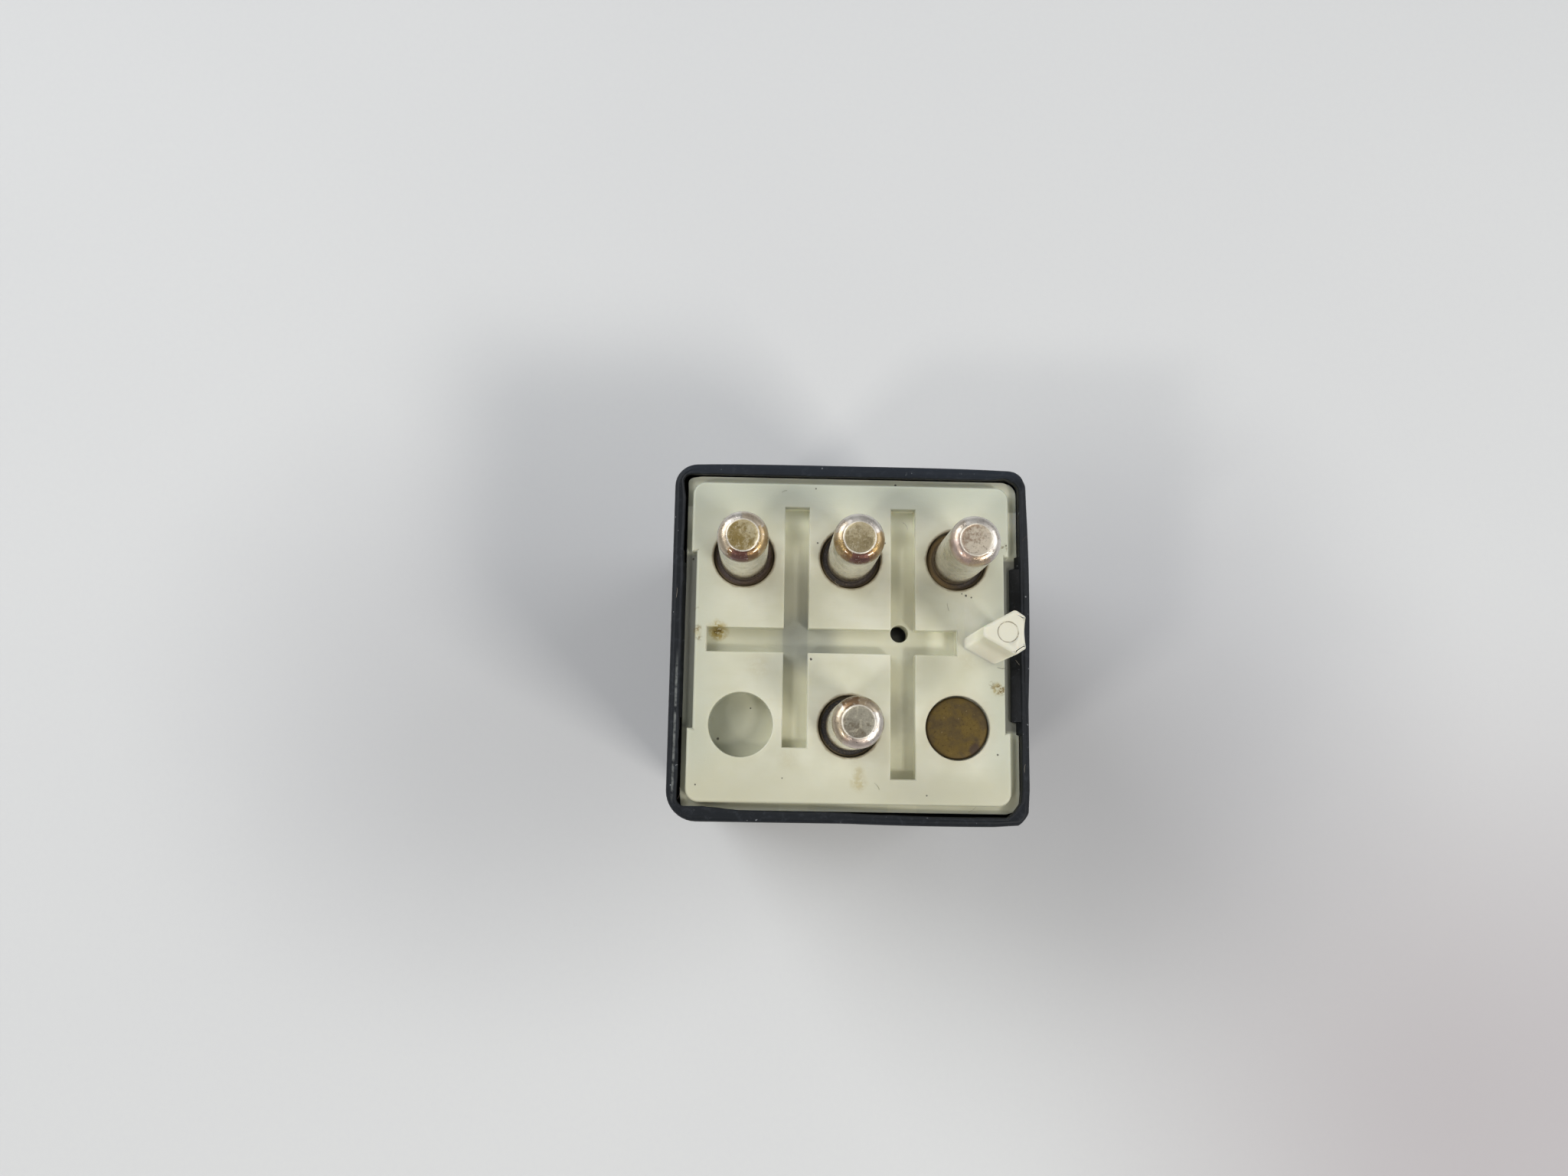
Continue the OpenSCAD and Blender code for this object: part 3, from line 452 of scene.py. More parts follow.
def edge_round(middle):
    """Radius worn on an edge of the base, from the place of its middle."""
    x, y, z = middle / MM
    if z > cover_top + 0.04 and x > key_foot_x:
        return 0.0 if abs(x - 11.4) < 0.86 and abs(y) < 0.84 else 0.27
    if abs(z - cover_top) < 0.04:
        by_the_lug = x > key_foot_x and abs(y) < 1.8
        if by_the_lug and x < key_back_x:
            return 0.0
        return 0.09 if by_the_lug or max(abs(x), abs(y)) < 12.5 else 0.22
    return 0.05


moulding = bmesh.new()
moulding.from_mesh(base_node.data)
bmesh.ops.remove_doubles(moulding, verts=moulding.verts, dist=0.002 * MM)
bmesh.ops.dissolve_limit(moulding, angle_limit=math.radians(1), verts=moulding.verts, edges=moulding.edges)
for vert in moulding.verts:
    # the flange has crept out under the rim in front and on the right, and fills its corners on the left
    x, y, z = vert.co / MM
    if ledge_z - 0.1 < z < flange_z + 0.1 and max(abs(x), abs(y)) > flange_edge:
        corner = Vector((abs(x) - flange_corner, abs(y) - flange_corner))
        if x < 0 and min(corner) > 0.02:
            squarer = corner.length / (corner.x ** 5 + corner.y ** 5) ** 0.2
            x = -flange_corner - corner.x * squarer
            y = math.copysign(flange_corner + corner.y * squarer, y)
        if x > flange_edge:
            x += flange_creep
        if y < -flange_edge:
            y -= flange_creep
        vert.co = Vector((x, y, z)) * MM
weights = moulding.edges.layers.float.new("bevel_weight_edge")
for edge in moulding.edges:
    if len(edge.link_faces) == 2 and edge.calc_face_angle() > math.radians(35):
        edge[weights] = edge_round((edge.verts[0].co + edge.verts[1].co) / 2) / widest_edge
base_mesh = bpy.data.meshes.new("base_moulding")
moulding.to_mesh(base_mesh)
moulding.free()
base_mesh.polygons.foreach_set("use_smooth", [True] * len(base_mesh.polygons))
base = new_object("base_moulding", base_mesh)


def round_edges(part, width, limit="ANGLE", segments=3):
    """Rounds a part's edges and keeps its flat faces flat."""
    edges = part.modifiers.new("soft_edges", "BEVEL")
    edges.width = width * MM
    edges.segments = segments
    edges.limit_method = limit
    edges.angle_limit = math.radians(40)
    edges.use_clamp_overlap = limit == "ANGLE"
    normals = part.modifiers.new("flat_faces", "WEIGHTED_NORMAL")
    normals.keep_sharp = True


round_edges(base, widest_edge, "WEIGHT", 4)

nylon = Finish("natural_nylon", Specular_IOR_Level=0.45, Subsurface_Weight=0.5, Subsurface_Scale=0.0008,
               Subsurface_Radius=(1.0, 0.85, 0.6))
mottle = nylon.grain(0.22, 3, 0.5)
silk = nylon.grain(7, 3, 0.6)
flow = nylon.grain(0.8, 4, 0.6, shift=5, stretch=(0.35, 1.6, 1), distortion=0.4)
ivory = nylon.blend(mottle.rise(0.3, 0.7), srgb(201, 201, 179), srgb(213, 213, 195))
ivory = nylon.blend(flow.rise(0.45, 0.75) * 0.14, ivory, srgb(194, 190, 160))

# painted shade: the moulding is painted darker and greener along its edges, where less light comes through
# the thin walls; it is also darker towards the left, greener at the back and warmer in front
edge_shade = abs(nylon.x).most(abs(nylon.y)).rise(9.5, 13.2)
ivory = nylon.blend(edge_shade * 0.7, ivory, srgb(184, 188, 172))
ivory = nylon.blend(nylon.x.rise(-3, -10) * 0.3, ivory, srgb(180, 181, 160))
ivory = nylon.blend(nylon.y.rise(9.5, 13) * 0.35, ivory, srgb(184, 192, 180))
ivory = nylon.blend(nylon.y.rise(-9, -13) * 0.3, ivory, srgb(198, 190, 158))

# floors of the grooves and the pocket, with painted light and painted shade on them
sunk = nylon.z.rise(cover_top - 0.5, cover_top - 0.9)
ivory = nylon.blend(sunk * 0.4, ivory, srgb(204, 203, 176))
# painted light: the floors of the upright grooves are painted paler
lit_upright_grooves = sunk * abs(abs(nylon.x) - 4.5).rise(1.3, 1.1) * abs(nylon.y).rise(1.2, 2.2)
ivory = nylon.blend(lit_upright_grooves * 0.3, ivory, srgb(228, 225, 196))
# painted light: the flange under the rim is painted paler, most of all at the back
lit_under_rim = nylon.z.rise(flange_z + 0.3, flange_z + 0.1) * abs(nylon.x).most(abs(nylon.y)).rise(13.2, 13.4)
ivory = nylon.blend(lit_under_rim * (nylon.y.rise(12.6, 13.2) * 0.5 + 0.2), ivory, srgb(240, 240, 218))
# painted shade: grey along the middle of the left groove's floor, and round the crossing of the grooves
left_groove = nylon.x.rise(-3.4, -3.6) * nylon.x.rise(-5.7, -5.5)
groove_shade = left_groove * nylon.y.rise(-3.5, 1) * nylon.y.rise(9.5, 5)
ivory = nylon.blend(groove_shade * sunk * 0.5, ivory, srgb(140, 140, 128))
crossing_shade = nylon.spot(-3.5, 0.1, 1.2, 2.4, 0.5, 0.6)
ivory = nylon.blend(crossing_shade * (sunk * 0.5 + 0.06), ivory, srgb(134, 139, 134))
# painted shade: the slots at the sides under the rim are painted dark grey
side_slot_shade = sunk * abs(nylon.x).rise(12.6, 12.8) * abs(nylon.y).rise(7.5, 7.1)
ivory = nylon.blend(side_slot_shade * 0.95, ivory, srgb(132, 133, 124))
# painted light: the back ends of the upright grooves and the right end of the cross groove are painted paler
lit_groove_end = sunk * (nylon.y.rise(8.8, 10.6) * nylon.y.rise(11.6, 11.4) + abs(nylon.x - 8.2).rise(1.9, 0.8)
                     * abs(nylon.y).rise(1.4, 1.2) * 0.6)
ivory = nylon.blend(lit_groove_end, ivory, srgb(252, 252, 230))
# painted shade: a grey spot in the front of the right upright groove
ivory = nylon.blend(nylon.spot(4.44, -6.2, 0.4, 2.6, 1.0, 0.5) * sunk * 0.5, ivory, srgb(138, 136, 118))
pocket_shade = sunk * nylon.spot(-11.4, -6.6, 1.0, 4.6)
ivory = nylon.blend(pocket_shade * 0.7, ivory, srgb(128, 132, 116))
key_white = nylon.z.rise(cover_top + 0.1, cover_top + 1.2)
key_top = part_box("base")[1][2] / MM
ivory = nylon.blend(key_white * 0.85, ivory, srgb(216, 214, 198))
# painted light: the lug's sides are painted paler than its top
lit_key_sides = key_white * nylon.z.rise(key_top - 0.03, key_top - 0.35)
ivory = nylon.blend(lit_key_sides * 0.85, ivory, srgb(238, 237, 211))

# tea-coloured stains, the darker ones in the groove's left end and by the right side; the faint blot at
# (-4.96, -9.9) is a painted shadow near the front end of the left groove
stain = nylon.grain(2.4, 4, 0.7, shift=2)
tea = srgb(158, 138, 60)
brown = srgb(104, 84, 32)
for x, y, radius, soft, strength in [(-11.05, 0.75, 0.3, 0.75, 0.9), (0.77, -10.8, 0.1, 0.6, 0.35),
                                     (0.78, -11.7, 0.15, 0.8, 0.4), (-4.96, -9.9, 0.2, 1.0, 0.12),
                                     (9.8, -1.5, 0.1, 0.9, 0.12), (-7.6, -2.2, 0.3, 1.2, 0.14),
                                     (12.35, -3.8, 0.2, 0.5, 0.6), (-12.75, 0.6, 0.1, 0.4, 0.4)]:
    blot = nylon.spot(x, y, radius, soft, 0.35, 1.6) * stain.rise(0.3, 0.55)
    ivory = nylon.blend(blot * strength, ivory, tea)
for x, y, radius, soft, strength in [(-11.1, 0.8, 0.15, 0.4, 1.0), (12.5, -3.8, 0.15, 0.45, 0.95),
                                     (11.9, -3.5, 0.02, 0.4, 0.6), (12.85, -4.1, 0.02, 0.3, 0.6),
                                     (13.02, 8.2, 0.05, 0.4, 0.7), (-12.75, 0.9, 0.05, 0.4, 0.7),
                                     (-12.65, 0.05, 0.03, 0.35, 0.7), (-12.9, 2.6, 0.03, 0.3, 0.5)]:
    streak = nylon.spot(x, y, radius, soft, 0.3, 2.5) * (stain.rise(0.44, 0.5) * stain.rise(0.62, 0.54))
    ivory = nylon.blend(streak * strength, ivory, brown)

# tarnish has crept into the plastic round each contact
for name in ("coil_pin_left", "supply_pin", "coil_pin_right", "load_pin", "stop_rivet"):
    corner_low, corner_high = (Vector(corner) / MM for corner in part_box(name))
    contact_middle = (corner_low + corner_high) / 2
    away = nylon.distance(contact_middle.x, contact_middle.y, 0.12, 1.4)
    ivory = nylon.blend(away.rise(3.7, 2.6) * 0.12, ivory, srgb(150, 128, 92))
    ring_strength = 0.3 if name == "stop_rivet" else 0.75
    ivory = nylon.blend(away.rise(2.82, 2.60) * ring_strength, ivory, srgb(112, 96, 66))

# black specks, most of them too small to feel
cell = nylon.node("ShaderNodeTexVoronoi", {"feature": "F1"}, {"Vector": nylon.place, "Scale": 0.55})
kept = nylon.grain(0.5, 1, 0.5, shift=11).rise(0.60, 0.62)
specks = cell.rise(0.045, 0.02) * kept
for x, y, radius in [(-10.9, -8.2, 0.09), (-8.2, -5.6, 0.05), (9.75, 4.05, 0.07), (10.2, 3.9, 0.05),
                     (9.4, 4.2, 0.04), (-3.25, -1.55, 0.08), (2.9, 8.4, 0.05), (-2.8, 8.3, 0.05),
                     (13.2, 8.4, 0.05), (12.3, -9.2, 0.06), (-13.3, 6.9, 0.07), (6.4, -12.6, 0.05),
                     (-3.0, 13.0, 0.05), (3.9, 13.7, 0.08), (-12.6, -12.0, 0.05)]:
    specks = specks.most(nylon.spot(x, y, radius, 0.04, 0.05, 6.0))
ivory = nylon.blend(specks * 0.85, ivory, srgb(46, 38, 30))

# ejector mark on the lug, picked out by a broken line of dirt
mark = abs(nylon.distance(11.42, 0.0) - 0.79).rise(0.06, 0.02)
mark = mark * nylon.z.rise(cover_top + 8.3, cover_top + 8.5)
broken_mark = mark * nylon.grain(1.8, 3, 0.6, shift=4).rise(0.36, 0.56)
ivory = nylon.blend(broken_mark * 0.75, ivory, srgb(134, 124, 100))
# the lug is painted browner low on its front
lug_brown_patch = nylon.spot(11.2, -1.1, 0.4, 1.5, 0.4, 1.0) * nylon.z.rise(cover_top + 8.6, cover_top + 6.0)
ivory = nylon.blend(lug_brown_patch * key_white * 0.25, ivory, srgb(190, 176, 146))

nylon.show(Base_Color=ivory, Roughness=mottle * 0.12 + silk * 0.06 + (1 - key_white) * 0.1 + 0.24,
           Normal=nylon.bump(silk, 0.012, 0.6, nylon.bump(flow, 0.05, 0.35)))
base.data.materials.append(nylon.material)
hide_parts("base")
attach(base, "housing")

# ---------------------------------------------------------------------------
# Contact pins: turned brass, silver plated, with a flat tip and a rounded
# shoulder, riveted through the base. Years of use have tarnished each its own way.
# ---------------------------------------------------------------------------


def turned_mesh(name, profile, middle):
    """Solid of revolution about the vertical through middle; profile runs from bottom to top."""
    segments = 96
    turn = [2 * math.pi * k / segments for k in range(segments)]
    rings = [[Vector((middle.x + r * math.cos(a), middle.y + r * math.sin(a), z)) * MM for a in turn]
             for r, z in profile]
    return ringed_mesh(name, rings)


def arc(r, z, radius, start, end, steps):
    """Points of an arc about (r, z), with angles in degrees from the outward direction."""
    angles = [math.radians(start + (end - start) * i / steps) for i in range(steps + 1)]
    return [(r + radius * math.cos(a), z + radius * math.sin(a)) for a in angles]


def toward(across, along, facing):
    """How far a place lies toward a direction in degrees, seen from above."""
    way = math.radians(facing)
    return across * math.cos(way) + along * math.sin(way)


# the head spread under the base, the shank in its hole, the collar, the pin and its flat tip
head_radius = 1.9
head_height = 0.6
shank_radius = 1.3
collar_radius = 2.475
pin_radius = 2.0
shoulder_round = 0.8
tip_radius = 1.24

olive = srgb(132, 112, 52)
gold = srgb(164, 136, 82)
bronze = srgb(124, 92, 52)
plum = srgb(96, 58, 52)
rose = srgb(184, 158, 144)
tan = srgb(164, 146, 116)
cream = srgb(240, 234, 216)
grey = srgb(150, 146, 130)
soot = srgb(34, 28, 25)

# Each pin's patches of tarnish round the shoulder: direction in degrees, half width, colour and strength.
# The bronze and plum patches facing the front are tarnish and also a painted reflection of the dim room in
# front.
# Then the flat tip's colour, the colour of its blotches and the direction they lie in, and the colour of the
# dirt and painted shade round the foot, on the left and on the right.
tarnish_and_reflection = {
    "coil_pin_left": (
        [(195, 75, tan, 0.8), (-15, 60, gold, 0.9), (-90, 60, bronze, 0.95), (-98, 30, plum, 0.95),
         (60, 45, gold, 0.5)],
        olive, srgb(192, 180, 144), 30, srgb(62, 48, 42), srgb(84, 66, 52)),
    "supply_pin": (
        [(-150, 65, gold, 0.95), (-25, 60, gold, 0.95), (-90, 65, bronze, 1.0), (-88, 34, plum, 0.9),
         (160, 40, tan, 0.6)],
        srgb(140, 126, 88), srgb(190, 178, 146), 90, srgb(40, 34, 31), srgb(66, 55, 46)),
    "coil_pin_right": (
        [(200, 60, rose, 0.8), (-95, 60, rose, 0.9), (-80, 35, tan, 0.6), (150, 40, tan, 0.45)],
        srgb(204, 193, 174), srgb(134, 108, 86), 140, srgb(122, 100, 58), srgb(50, 39, 30)),
    "load_pin": (
        [(100, 50, bronze, 0.95), (60, 40, tan, 0.8), (190, 70, tan, 0.85), (-95, 50, rose, 0.55)],
        grey, srgb(118, 110, 94), -120, srgb(26, 24, 25), srgb(34, 30, 27)),
}

for pin_name, (patches, tip_tone, blotch_tone, blotch_facing, foot_left, foot_right) in tarnish_and_reflection.items():
    pin_low, pin_high = (Vector(corner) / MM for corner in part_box(pin_name))
    middle = (pin_low + pin_high) / 2
    foot = cover_top - 0.9
    top = pin_high.z
    profile = [(head_radius, pin_low.z), (head_radius, pin_low.z + head_height),
               (shank_radius, pin_low.z + head_height), (shank_radius, foot),
               (collar_radius, foot), (collar_radius, foot + 0.27), (2.40, foot + 0.35),
               (2.02, foot + 0.35), (pin_radius, foot + 0.45)]
    profile += arc(pin_radius - shoulder_round, top - 0.84, shoulder_round, 0, 84, 14)
    profile += arc(tip_radius, top - 0.11, 0.09, 50, 115, 5)
    profile += [(1.12, top - 0.06), (0.9, top - 0.07), (0.45, top - 0.05)]
    pin_mesh = turned_mesh(pin_name + "_plated", profile, middle)
    smooth(pin_mesh, 60)
    pin = new_object(pin_name + "_plated", pin_mesh)

    silver = Finish(pin_name + "_silver", Coat_Roughness=0.05)
    smudge = silver.grain(0.9, 4, 0.6, shift=middle.x)
    mottle = silver.grain(2.1, 5, 0.72, shift=middle.x + 5, distortion=0.5)
    grit = silver.grain(5.5, 4, 0.7, shift=middle.x + 3)
    across = silver.x - middle.x
    along = silver.y - middle.y
    radius = (across * across + along * along) ** 0.5
    tone = silver.blend(smudge.rise(0.35, 0.7), srgb(198, 190, 180), srgb(232, 226, 216))
    on_shaft = silver.z.rise(top - 1.0, top - 1.6)
    tone = silver.blend(on_shaft * mottle.rise(0.42, 0.62) * 0.28, tone, srgb(158, 148, 128))
    shoulder = silver.z.rise(top - 1.25, top - 0.8) * radius.rise(1.2, 1.35)
    oxide_and_reflection = 0.0
    for facing, spread, colour, strength in patches:
        patch = (toward(across, along, facing) / radius).rise(math.cos(math.radians(spread)), 1.0)
        patch = patch + (mottle - 0.5) * 1.5 + (smudge - 0.5) * 0.5
        patch = patch.rise(0.3, 0.62) * shoulder * strength
        tone = silver.blend(patch, tone, colour)
        oxide_and_reflection = patch + oxide_and_reflection
    flecks = silver.grain(3.4, 5, 0.75, shift=middle.y + 2)
    tone = silver.blend(shoulder * flecks.rise(0.57, 0.68) * 0.55, tone, cream)
    tone = silver.blend(shoulder * flecks.rise(0.42, 0.33) * 0.5, tone, srgb(118, 98, 74))
    tip = silver.z.rise(top - 0.12, top - 0.08) * radius.rise(tip_radius, tip_radius - 0.08)
    tone = silver.blend(tip * 0.95, tone, tip_tone)
    blotches = silver.grain(1.5, 5, 0.75, shift=middle.y + 6) + toward(across, along, blotch_facing) * 0.16
    tone = silver.blend(tip * blotches.rise(0.46, 0.64) * 0.8, tone, blotch_tone)
    scratches = silver.grain(3.6, 3, 0.6, stretch=(1, 0.3, 1), distortion=1.2).rise(0.57, 0.7)
    tone = silver.blend(tip * scratches * 0.35, tone, srgb(224, 216, 190))
    tone = silver.blend(tip * flecks.rise(0.53, 0.66) * 0.4, tone, srgb(210, 202, 178))
    tone = silver.blend(tip * flecks.rise(0.46, 0.34) * 0.6, tone, srgb(92, 78, 54))
    # painted highlight: a bright cream ring round the edge of the flat tip
    ring = radius.rise(1.19, 1.23) * radius.rise(1.33, 1.26) * silver.z.rise(top - 0.2, top - 0.14)
    tone = silver.blend(ring * (mottle.rise(0.36, 0.56) * 0.6 + 0.25), tone, cream)
    # the foot in its recess carries dirt and painted shade: darkest next to the pin, with a paler brown edge
    foot_line = cover_top - 0.28
    foot_dirt_and_shade = silver.z.rise(foot_line + 0.25, foot_line - 0.15)
    foot_dirt_and_shade = (foot_dirt_and_shade + (grit - 0.5) * 0.5 * silver.z.rise(foot_line + 1.0, foot_line)).least(1.0).most(0.0)
    foot_dirt_and_shade_tone = silver.blend(across.rise(0.8, -1.6), foot_right, foot_left)
    foot_dirt_and_shade_tone = silver.blend(radius.rise(2.25, 2.0) * 0.6, foot_dirt_and_shade_tone, soot)
    foot_dirt_and_shade_tone = silver.blend(grit.rise(0.52, 0.68) * 0.5, foot_dirt_and_shade_tone, srgb(128, 112, 84))
    foot_dirt_and_shade_tone = silver.blend(radius.rise(2.3, 2.42) * 0.75, foot_dirt_and_shade_tone, srgb(116, 102, 72))
    tone = silver.blend(foot_dirt_and_shade, tone, foot_dirt_and_shade_tone)
    pits = silver.grain(3.2, 2, 0.5, shift=9).rise(0.72, 0.76)
    tone = silver.blend(pits * 0.7, tone, soot)
    silver.show(Base_Color=tone, Metallic=(1 - foot_dirt_and_shade * 0.9 - ring * 0.4 - tip * 0.3 - oxide_and_reflection * 0.2).most(0.0),
                Roughness=smudge * 0.16 + tip * 0.16 + foot_dirt_and_shade * 0.3 + mottle * 0.14 + 0.14,
                Coat_Weight=1 - foot_dirt_and_shade,
                Normal=silver.bump(grit, 0.03, 0.6, silver.bump(mottle, 0.06, 0.5)))
    pin.data.materials.append(silver.material)
    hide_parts(pin_name)
    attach(pin, "housing")

# ---------------------------------------------------------------------------
# Stop rivet: plain brass, set through the base to hold the stop bracket below.
# Its head lies flush in a recess and has gone brown, with dirt settled round it.
# ---------------------------------------------------------------------------

rivet_low, rivet_high = (Vector(corner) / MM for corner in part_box("stop_rivet"))
rivet_middle = (rivet_low + rivet_high) / 2
rivet_top = rivet_high.z
rivet_radius = (rivet_high.x - rivet_low.x) / 2
rivet_profile = [(head_radius, rivet_low.z), (head_radius, rivet_low.z + head_height),
                 (shank_radius, rivet_low.z + head_height), (shank_radius, rivet_top - 0.4),
                 (rivet_radius, rivet_top - 0.4)]
rivet_profile += arc(rivet_radius - 0.16, rivet_top - 0.17, 0.16, 0, 80, 5)
rivet_profile += [(1.9, rivet_top - 0.004), (1.2, rivet_top), (0.5, rivet_top)]
rivet_mesh = turned_mesh("stop_rivet_brass", rivet_profile, rivet_middle)
smooth(rivet_mesh, 60)
rivet = new_object("stop_rivet_brass", rivet_mesh)

brass = Finish("tarnished_brass")
bloom = brass.grain(0.7, 5, 0.6, shift=1)
freckle = brass.grain(3.4, 4, 0.65, shift=6)
reach = brass.distance(rivet_middle.x, rivet_middle.y, 0.05, 2.0)
brass_tone = brass.blend(bloom.rise(0.36, 0.64), srgb(76, 62, 34), srgb(112, 95, 56))
brass_tone = brass.blend(freckle.rise(0.55, 0.68) * 0.65, brass_tone, srgb(68, 55, 34))
dark_blot = brass.spot(rivet_middle.x + 1.5, rivet_middle.y - 1.75, 0.35, 0.3, 0.2, 1.5)
brass_tone = brass.blend(dark_blot * 0.85, brass_tone, srgb(58, 44, 36))
head_rim = reach.rise(rivet_radius - 0.28, rivet_radius - 0.05)
brass_tone = brass.blend(head_rim * 0.4, brass_tone, srgb(72, 60, 40))
brass_tone = brass.blend(freckle.rise(0.36, 0.28) * 0.35, brass_tone, srgb(176, 156, 112))
brass.show(Base_Color=brass_tone, Metallic=1 - dark_blot.most(bloom.rise(0.6, 0.4)) * 0.5,
           Roughness=bloom * 0.2 + freckle * 0.15 + 0.36, Normal=brass.bump(freckle, 0.03, 0.5))
rivet.data.materials.append(brass.material)
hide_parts("stop_rivet")
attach(rivet, "housing")

# ---------------------------------------------------------------------------
# Magnet: a plated iron yoke hangs from two posts of the base, melted over it.
# It carries the core, and on the core a bobbin wound with enamelled copper wire.
# ---------------------------------------------------------------------------


def dress(node_name, finish, width=0.0):
    """Gives a part of the closed mechanism its finish and rounds its edges."""
    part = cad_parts[node_name]
    part.data.materials.clear()
    part.data.materials.append(finish.material)
    if width:
        weld = part.modifiers.new("joined", "WELD")
        weld.merge_threshold = 0.002 * MM
        flat = part.modifiers.new("flat_faces", "DECIMATE")
        flat.decimate_type = "DISSOLVE"
        flat.angle_limit = math.radians(1)
        round_edges(part, width)


def worked_metal(name, dark, light, roughness, shift, spots=None):
    """A rolled or stamped metal with faint streaks along the rolling, clouds and, if given, darker spots."""
    metal = Finish(name, Metallic=1.0)
    clouds = metal.grain(0.5, 4, 0.6, shift=shift)
    streaks = metal.grain(2.2, 4, 0.7, shift=shift, stretch=(1.6, 1.6, 0.12))
    tone = metal.blend(clouds.rise(0.25, 0.75), dark, light)
    if spots:
        tone = metal.blend(metal.grain(1.7, 5, 0.7, shift=shift + 4).rise(0.62, 0.74) * 0.7, tone, spots)
    metal.show(Base_Color=tone, Roughness=clouds * 0.16 + streaks * 0.12 + (roughness - 0.14),
               Normal=metal.bump(streaks, 0.03, 0.5))
    return metal


plated_iron = worked_metal("plated_iron", srgb(138, 140, 138), srgb(176, 178, 174), 0.34, 1.0,
                           srgb(128, 104, 78))
dress("yoke", plated_iron, 0.15)
dress("core", plated_iron, 0.15)

bobbin_plastic = Finish("bobbin_nylon", Specular_IOR_Level=0.4)
bobbin_cloud = bobbin_plastic.grain(0.4, 4, 0.6, shift=8)
bobbin_grain = bobbin_plastic.grain(6, 3, 0.6)
bobbin_tone = bobbin_plastic.blend(bobbin_cloud, srgb(186, 174, 138), srgb(212, 202, 170))
bobbin_plastic.show(Base_Color=bobbin_tone, Roughness=bobbin_cloud * 0.15 + 0.4,
                    Normal=bobbin_plastic.bump(bobbin_grain, 0.02, 0.5))
dress("bobbin", bobbin_plastic, 0.15)

# each turn of wire shows as a ridge; the finer lines are its neighbours in the layer below
enamel = Finish("enamelled_copper", Metallic=0.75, Coat_Roughness=0.12)
enamel_cloud = enamel.grain(0.6, 4, 0.6, shift=2)
enamel_lines = enamel.grain(9, 2, 0.5, stretch=(0.15, 0.15, 1.0))
enamel_tone = enamel.blend(enamel_cloud.rise(0.3, 0.7), srgb(126, 52, 20), srgb(176, 84, 36))
enamel_tone = enamel.blend(enamel_lines.rise(0.5, 0.7) * 0.5, enamel_tone, srgb(86, 34, 14))
enamel.show(Base_Color=enamel_tone, Roughness=enamel_lines * 0.2 + 0.2,
            Coat_Weight=enamel_cloud * 0.3 + 0.4,
            Normal=enamel.bump(enamel_lines, 0.06, 0.7))
for node_name in ("coil_winding", "lead_wire_left", "lead_wire_right"):
    dress(node_name, enamel)

# ---------------------------------------------------------------------------
# Coil circuit: two brass straps riveted under the coil pins take the coil's
# ends, and a small resistor soldered across them soaks up the switching spike.
# ---------------------------------------------------------------------------

strap_brass = worked_metal("strap_brass", srgb(178, 146, 78), srgb(212, 182, 112), 0.3, 3.0,
                           srgb(132, 98, 52))
dress("coil_strap_left", strap_brass, 0.08)
dress("coil_strap_right", strap_brass, 0.08)

# a blue lacquered body between tinned leads; the colour bands run round it
resistor_low = Vector(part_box("resistor")[0]) / MM
resistor_y = resistor_low.y + 0.95
lacquer = Finish("resistor_lacquer", Specular_IOR_Level=0.5)
lacquer_cloud = lacquer.grain(1.2, 3, 0.6, shift=5)
on_body = abs(lacquer.x).rise(3.02, 3.0) * abs(lacquer.y - resistor_y).rise(1.0, 0.98)
lacquer_tone = lacquer.blend(lacquer_cloud, srgb(84, 128, 152), srgb(108, 152, 172))
for band_x, band_colour in ((-1.9, srgb(120, 64, 30)), (-0.8, srgb(24, 24, 26)), (0.3, srgb(150, 40, 34)),
                            (2.2, srgb(170, 138, 66))):
    band = abs(lacquer.x - band_x + (lacquer_cloud - 0.5) * 0.1).rise(0.3, 0.24)
    lacquer_tone = lacquer.blend(band, lacquer_tone, band_colour)
tinned = lacquer.blend(lacquer_cloud, srgb(160, 158, 152), srgb(198, 196, 190))
lacquer_tone = lacquer.blend(on_body, tinned, lacquer_tone)
lacquer.show(Base_Color=lacquer_tone, Metallic=1 - on_body, Roughness=lacquer_cloud * 0.15 + 0.24)
dress("resistor", lacquer)

# ---------------------------------------------------------------------------
# Contact circuit: brass straps carry the current from the supply pin down the
# back and from the load pin's bracket to the silver contact; a copper braid
# crosses the hinge, and a plated bracket stops the blade when it opens.
# ---------------------------------------------------------------------------

dress("supply_strap", strap_brass, 0.08)
dress("load_bracket", strap_brass, 0.08)
dress("stop_bracket", plated_iron, 0.08)

# fine strands plaited both ways round the braid
plait = Finish("copper_braid", Metallic=0.9)
turns = plait.node("ShaderNodeTexWave", {"wave_type": "BANDS", "bands_direction": "DIAGONAL"},
                   {"Vector": plait.place, "Scale": 1.4, "Distortion": 1.5, "Detail": 2.0})
back_turns = plait.node("ShaderNodeTexWave", {"wave_type": "BANDS", "bands_direction": "Z"},
                        {"Vector": plait.place, "Scale": 1.7, "Distortion": 1.5, "Detail": 2.0})
strands = turns.most(back_turns)
plait_tone = plait.blend(strands.rise(0.3, 0.9), srgb(96, 50, 26), srgb(204, 128, 82))
plait.show(Base_Color=plait_tone, Roughness=0.5 - strands * 0.15, Normal=plait.bump(strands, 0.12, 0.8))
dress("braid", plait)

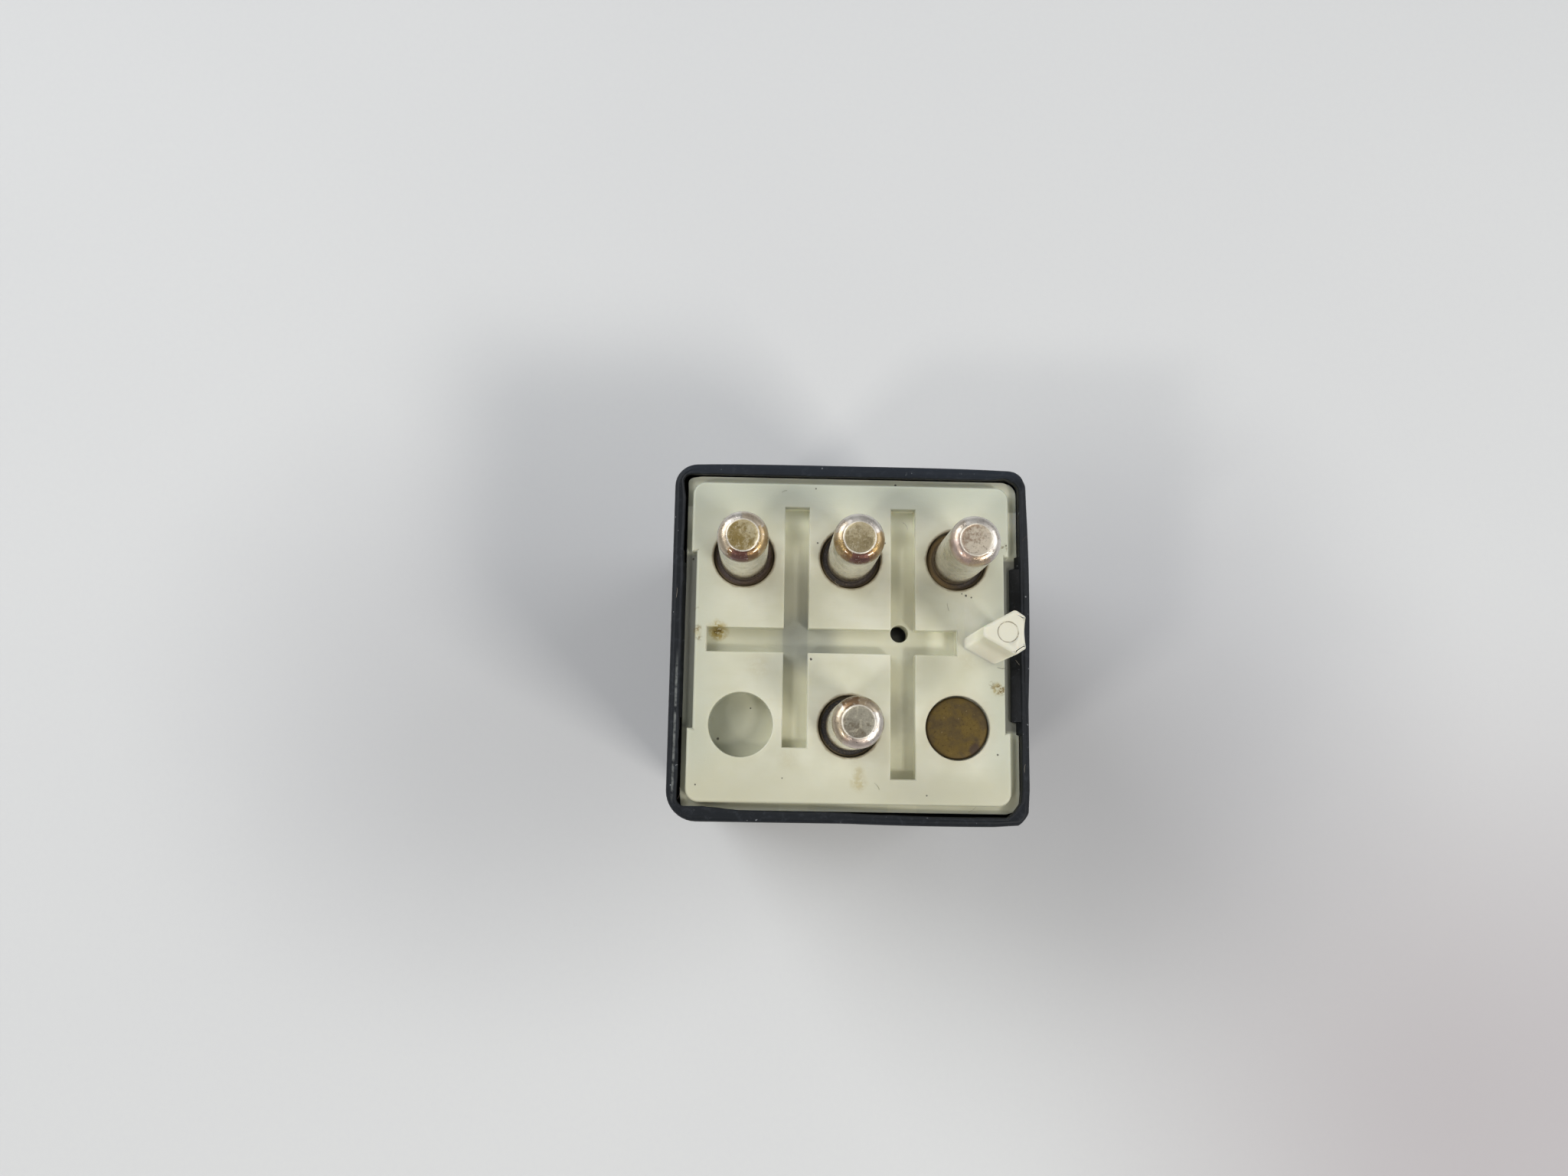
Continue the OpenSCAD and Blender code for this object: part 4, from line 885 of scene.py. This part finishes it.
# silver contacts, with a grey burn in the middle of their faces
contact_low, contact_high = (Vector(corner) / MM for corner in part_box("fixed_contact"))
contact_y = (contact_low.y + contact_high.y) / 2
contact_silver = Finish("contact_silver", Metallic=1.0)
burn = contact_silver.grain(2.4, 5, 0.7, shift=3)
burnt = contact_silver.spot(0, contact_y, 0.45, 0.8, 0.3, 2.0)
contact_tone = contact_silver.blend(burn.rise(0.3, 0.7), srgb(196, 192, 182), srgb(226, 223, 215))
contact_tone = contact_silver.blend(burnt * burn.rise(0.3, 0.6), contact_tone, srgb(112, 106, 98))
contact_silver.show(Base_Color=contact_tone, Roughness=burn * 0.2 + burnt * 0.15 + 0.18,
                    Normal=contact_silver.bump(burn, 0.05, 0.5))
dress("fixed_contact", contact_silver, 0.12)

# ---------------------------------------------------------------------------
# Armature: an iron plate on the yoke's knife edge. A bronze blade riveted to it
# carries the moving contact, and a coiled spring at its tail pulls it open.
# ---------------------------------------------------------------------------

dress("armature", plated_iron, 0.12)
dress("blade_rivets", plated_iron, 0.1)
bronze_strip = worked_metal("blade_bronze", srgb(176, 122, 70), srgb(208, 156, 100), 0.28, 6.0,
                            srgb(140, 92, 52))
dress("contact_blade", bronze_strip, 0.06)
dress("moving_contact", contact_silver, 0.12)
drawn_wire = worked_metal("spring_steel", srgb(122, 124, 128), srgb(170, 172, 176), 0.26, 9.0)
dress("return_spring", drawn_wire)

# ---------------------------------------------------------------------------
# Dust: a few short hairs and fibres that cling to the base and the rim. They
# are thin bent threads, lying where handling and a drawer have left them.
# ---------------------------------------------------------------------------


def thread(mesh, points, radius):
    """Adds a thin tube through points given in millimetres, tapering at both ends."""
    sides = 5
    turn = [2 * math.pi * k / sides for k in range(sides)]
    rings = []
    last = len(points) - 1
    for i, point in enumerate(points):
        run = (points[min(i + 1, last)] - points[max(i - 1, 0)]).normalized()
        side = run.cross(Vector((0, 0, 1))).normalized()
        lift = side.cross(run)
        size = radius * (0.4 if i in (0, last) else 1.0)
        rings.append([mesh.verts.new((point + size * (side * math.cos(a) + lift * math.sin(a))) * MM)
                      for a in turn])
    for lower, upper in zip(rings, rings[1:]):
        for k in range(sides):
            mesh.faces.new((lower[k], lower[(k + 1) % sides], upper[(k + 1) % sides], upper[k]))
    mesh.faces.new(list(reversed(rings[0])))
    mesh.faces.new(rings[-1])


random.seed(4)
fluff = bmesh.new()
# where each hair lies, its height over the face, direction in degrees, length and curl
hair_places = [(13.85, -1.3, 0.05, -45, 0.55, 10), (12.3, -1.95, 0.03, -25, 0.8, 50),
               (8.17, 3.4, 0.0, -88, 0.7, 6), (-14.0, -13.2, 0.05, 60, 1.0, 30),
               (14.5, -10.6, 0.03, 100, 0.7, -20), (9.9, -13.9, -0.6, 15, 1.1, 50),
               (-9.6, 10.3, 0.02, 165, 1.3, 40), (0.3, 9.9, 0.02, 30, 0.9, -90),
               (4.8, 9.6, 0.02, 95, 0.8, 50), (-5.9, 12.6, 0.02, 50, 0.5, -35),
               (2.5, -12.2, 0.02, 100, 0.7, 70), (-1.3, 5.0, 0.02, -60, 0.5, 40),
               (14.6, 8.8, 0.05, 80, 0.7, -40), (-14.6, 3.4, 0.03, 85, 0.9, 20)]
hair_steps = 10
for x, y, lift, heading, length, curl in hair_places:
    hair = [Vector((x, y, cover_top + lift + 0.02))]
    direction = math.radians(heading)
    for _ in range(hair_steps):
        direction += math.radians(curl / hair_steps + random.uniform(-6, 6))
        hair.append(hair[-1] + Vector((math.cos(direction), math.sin(direction), 0)) * length / hair_steps)
    thread(fluff, hair, 0.011)
fluff_mesh = bpy.data.meshes.new("dust_hairs")
fluff.to_mesh(fluff_mesh)
fluff.free()
fluff_mesh.polygons.foreach_set("use_smooth", [True] * len(fluff_mesh.polygons))
hairs = new_object("dust_hairs", fluff_mesh)

lint = Finish("lint")
lint_shade = lint.grain(0.35, 2, 0.5, shift=3).rise(0.42, 0.58)
lint_tone = lint.blend(lint_shade, srgb(70, 62, 52), srgb(168, 160, 146))
lint.show(Base_Color=lint_tone, Roughness=lint.grain(4, 2) * 0.2 + 0.6)
hairs.data.materials.append(lint.material)
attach(hairs, "housing")
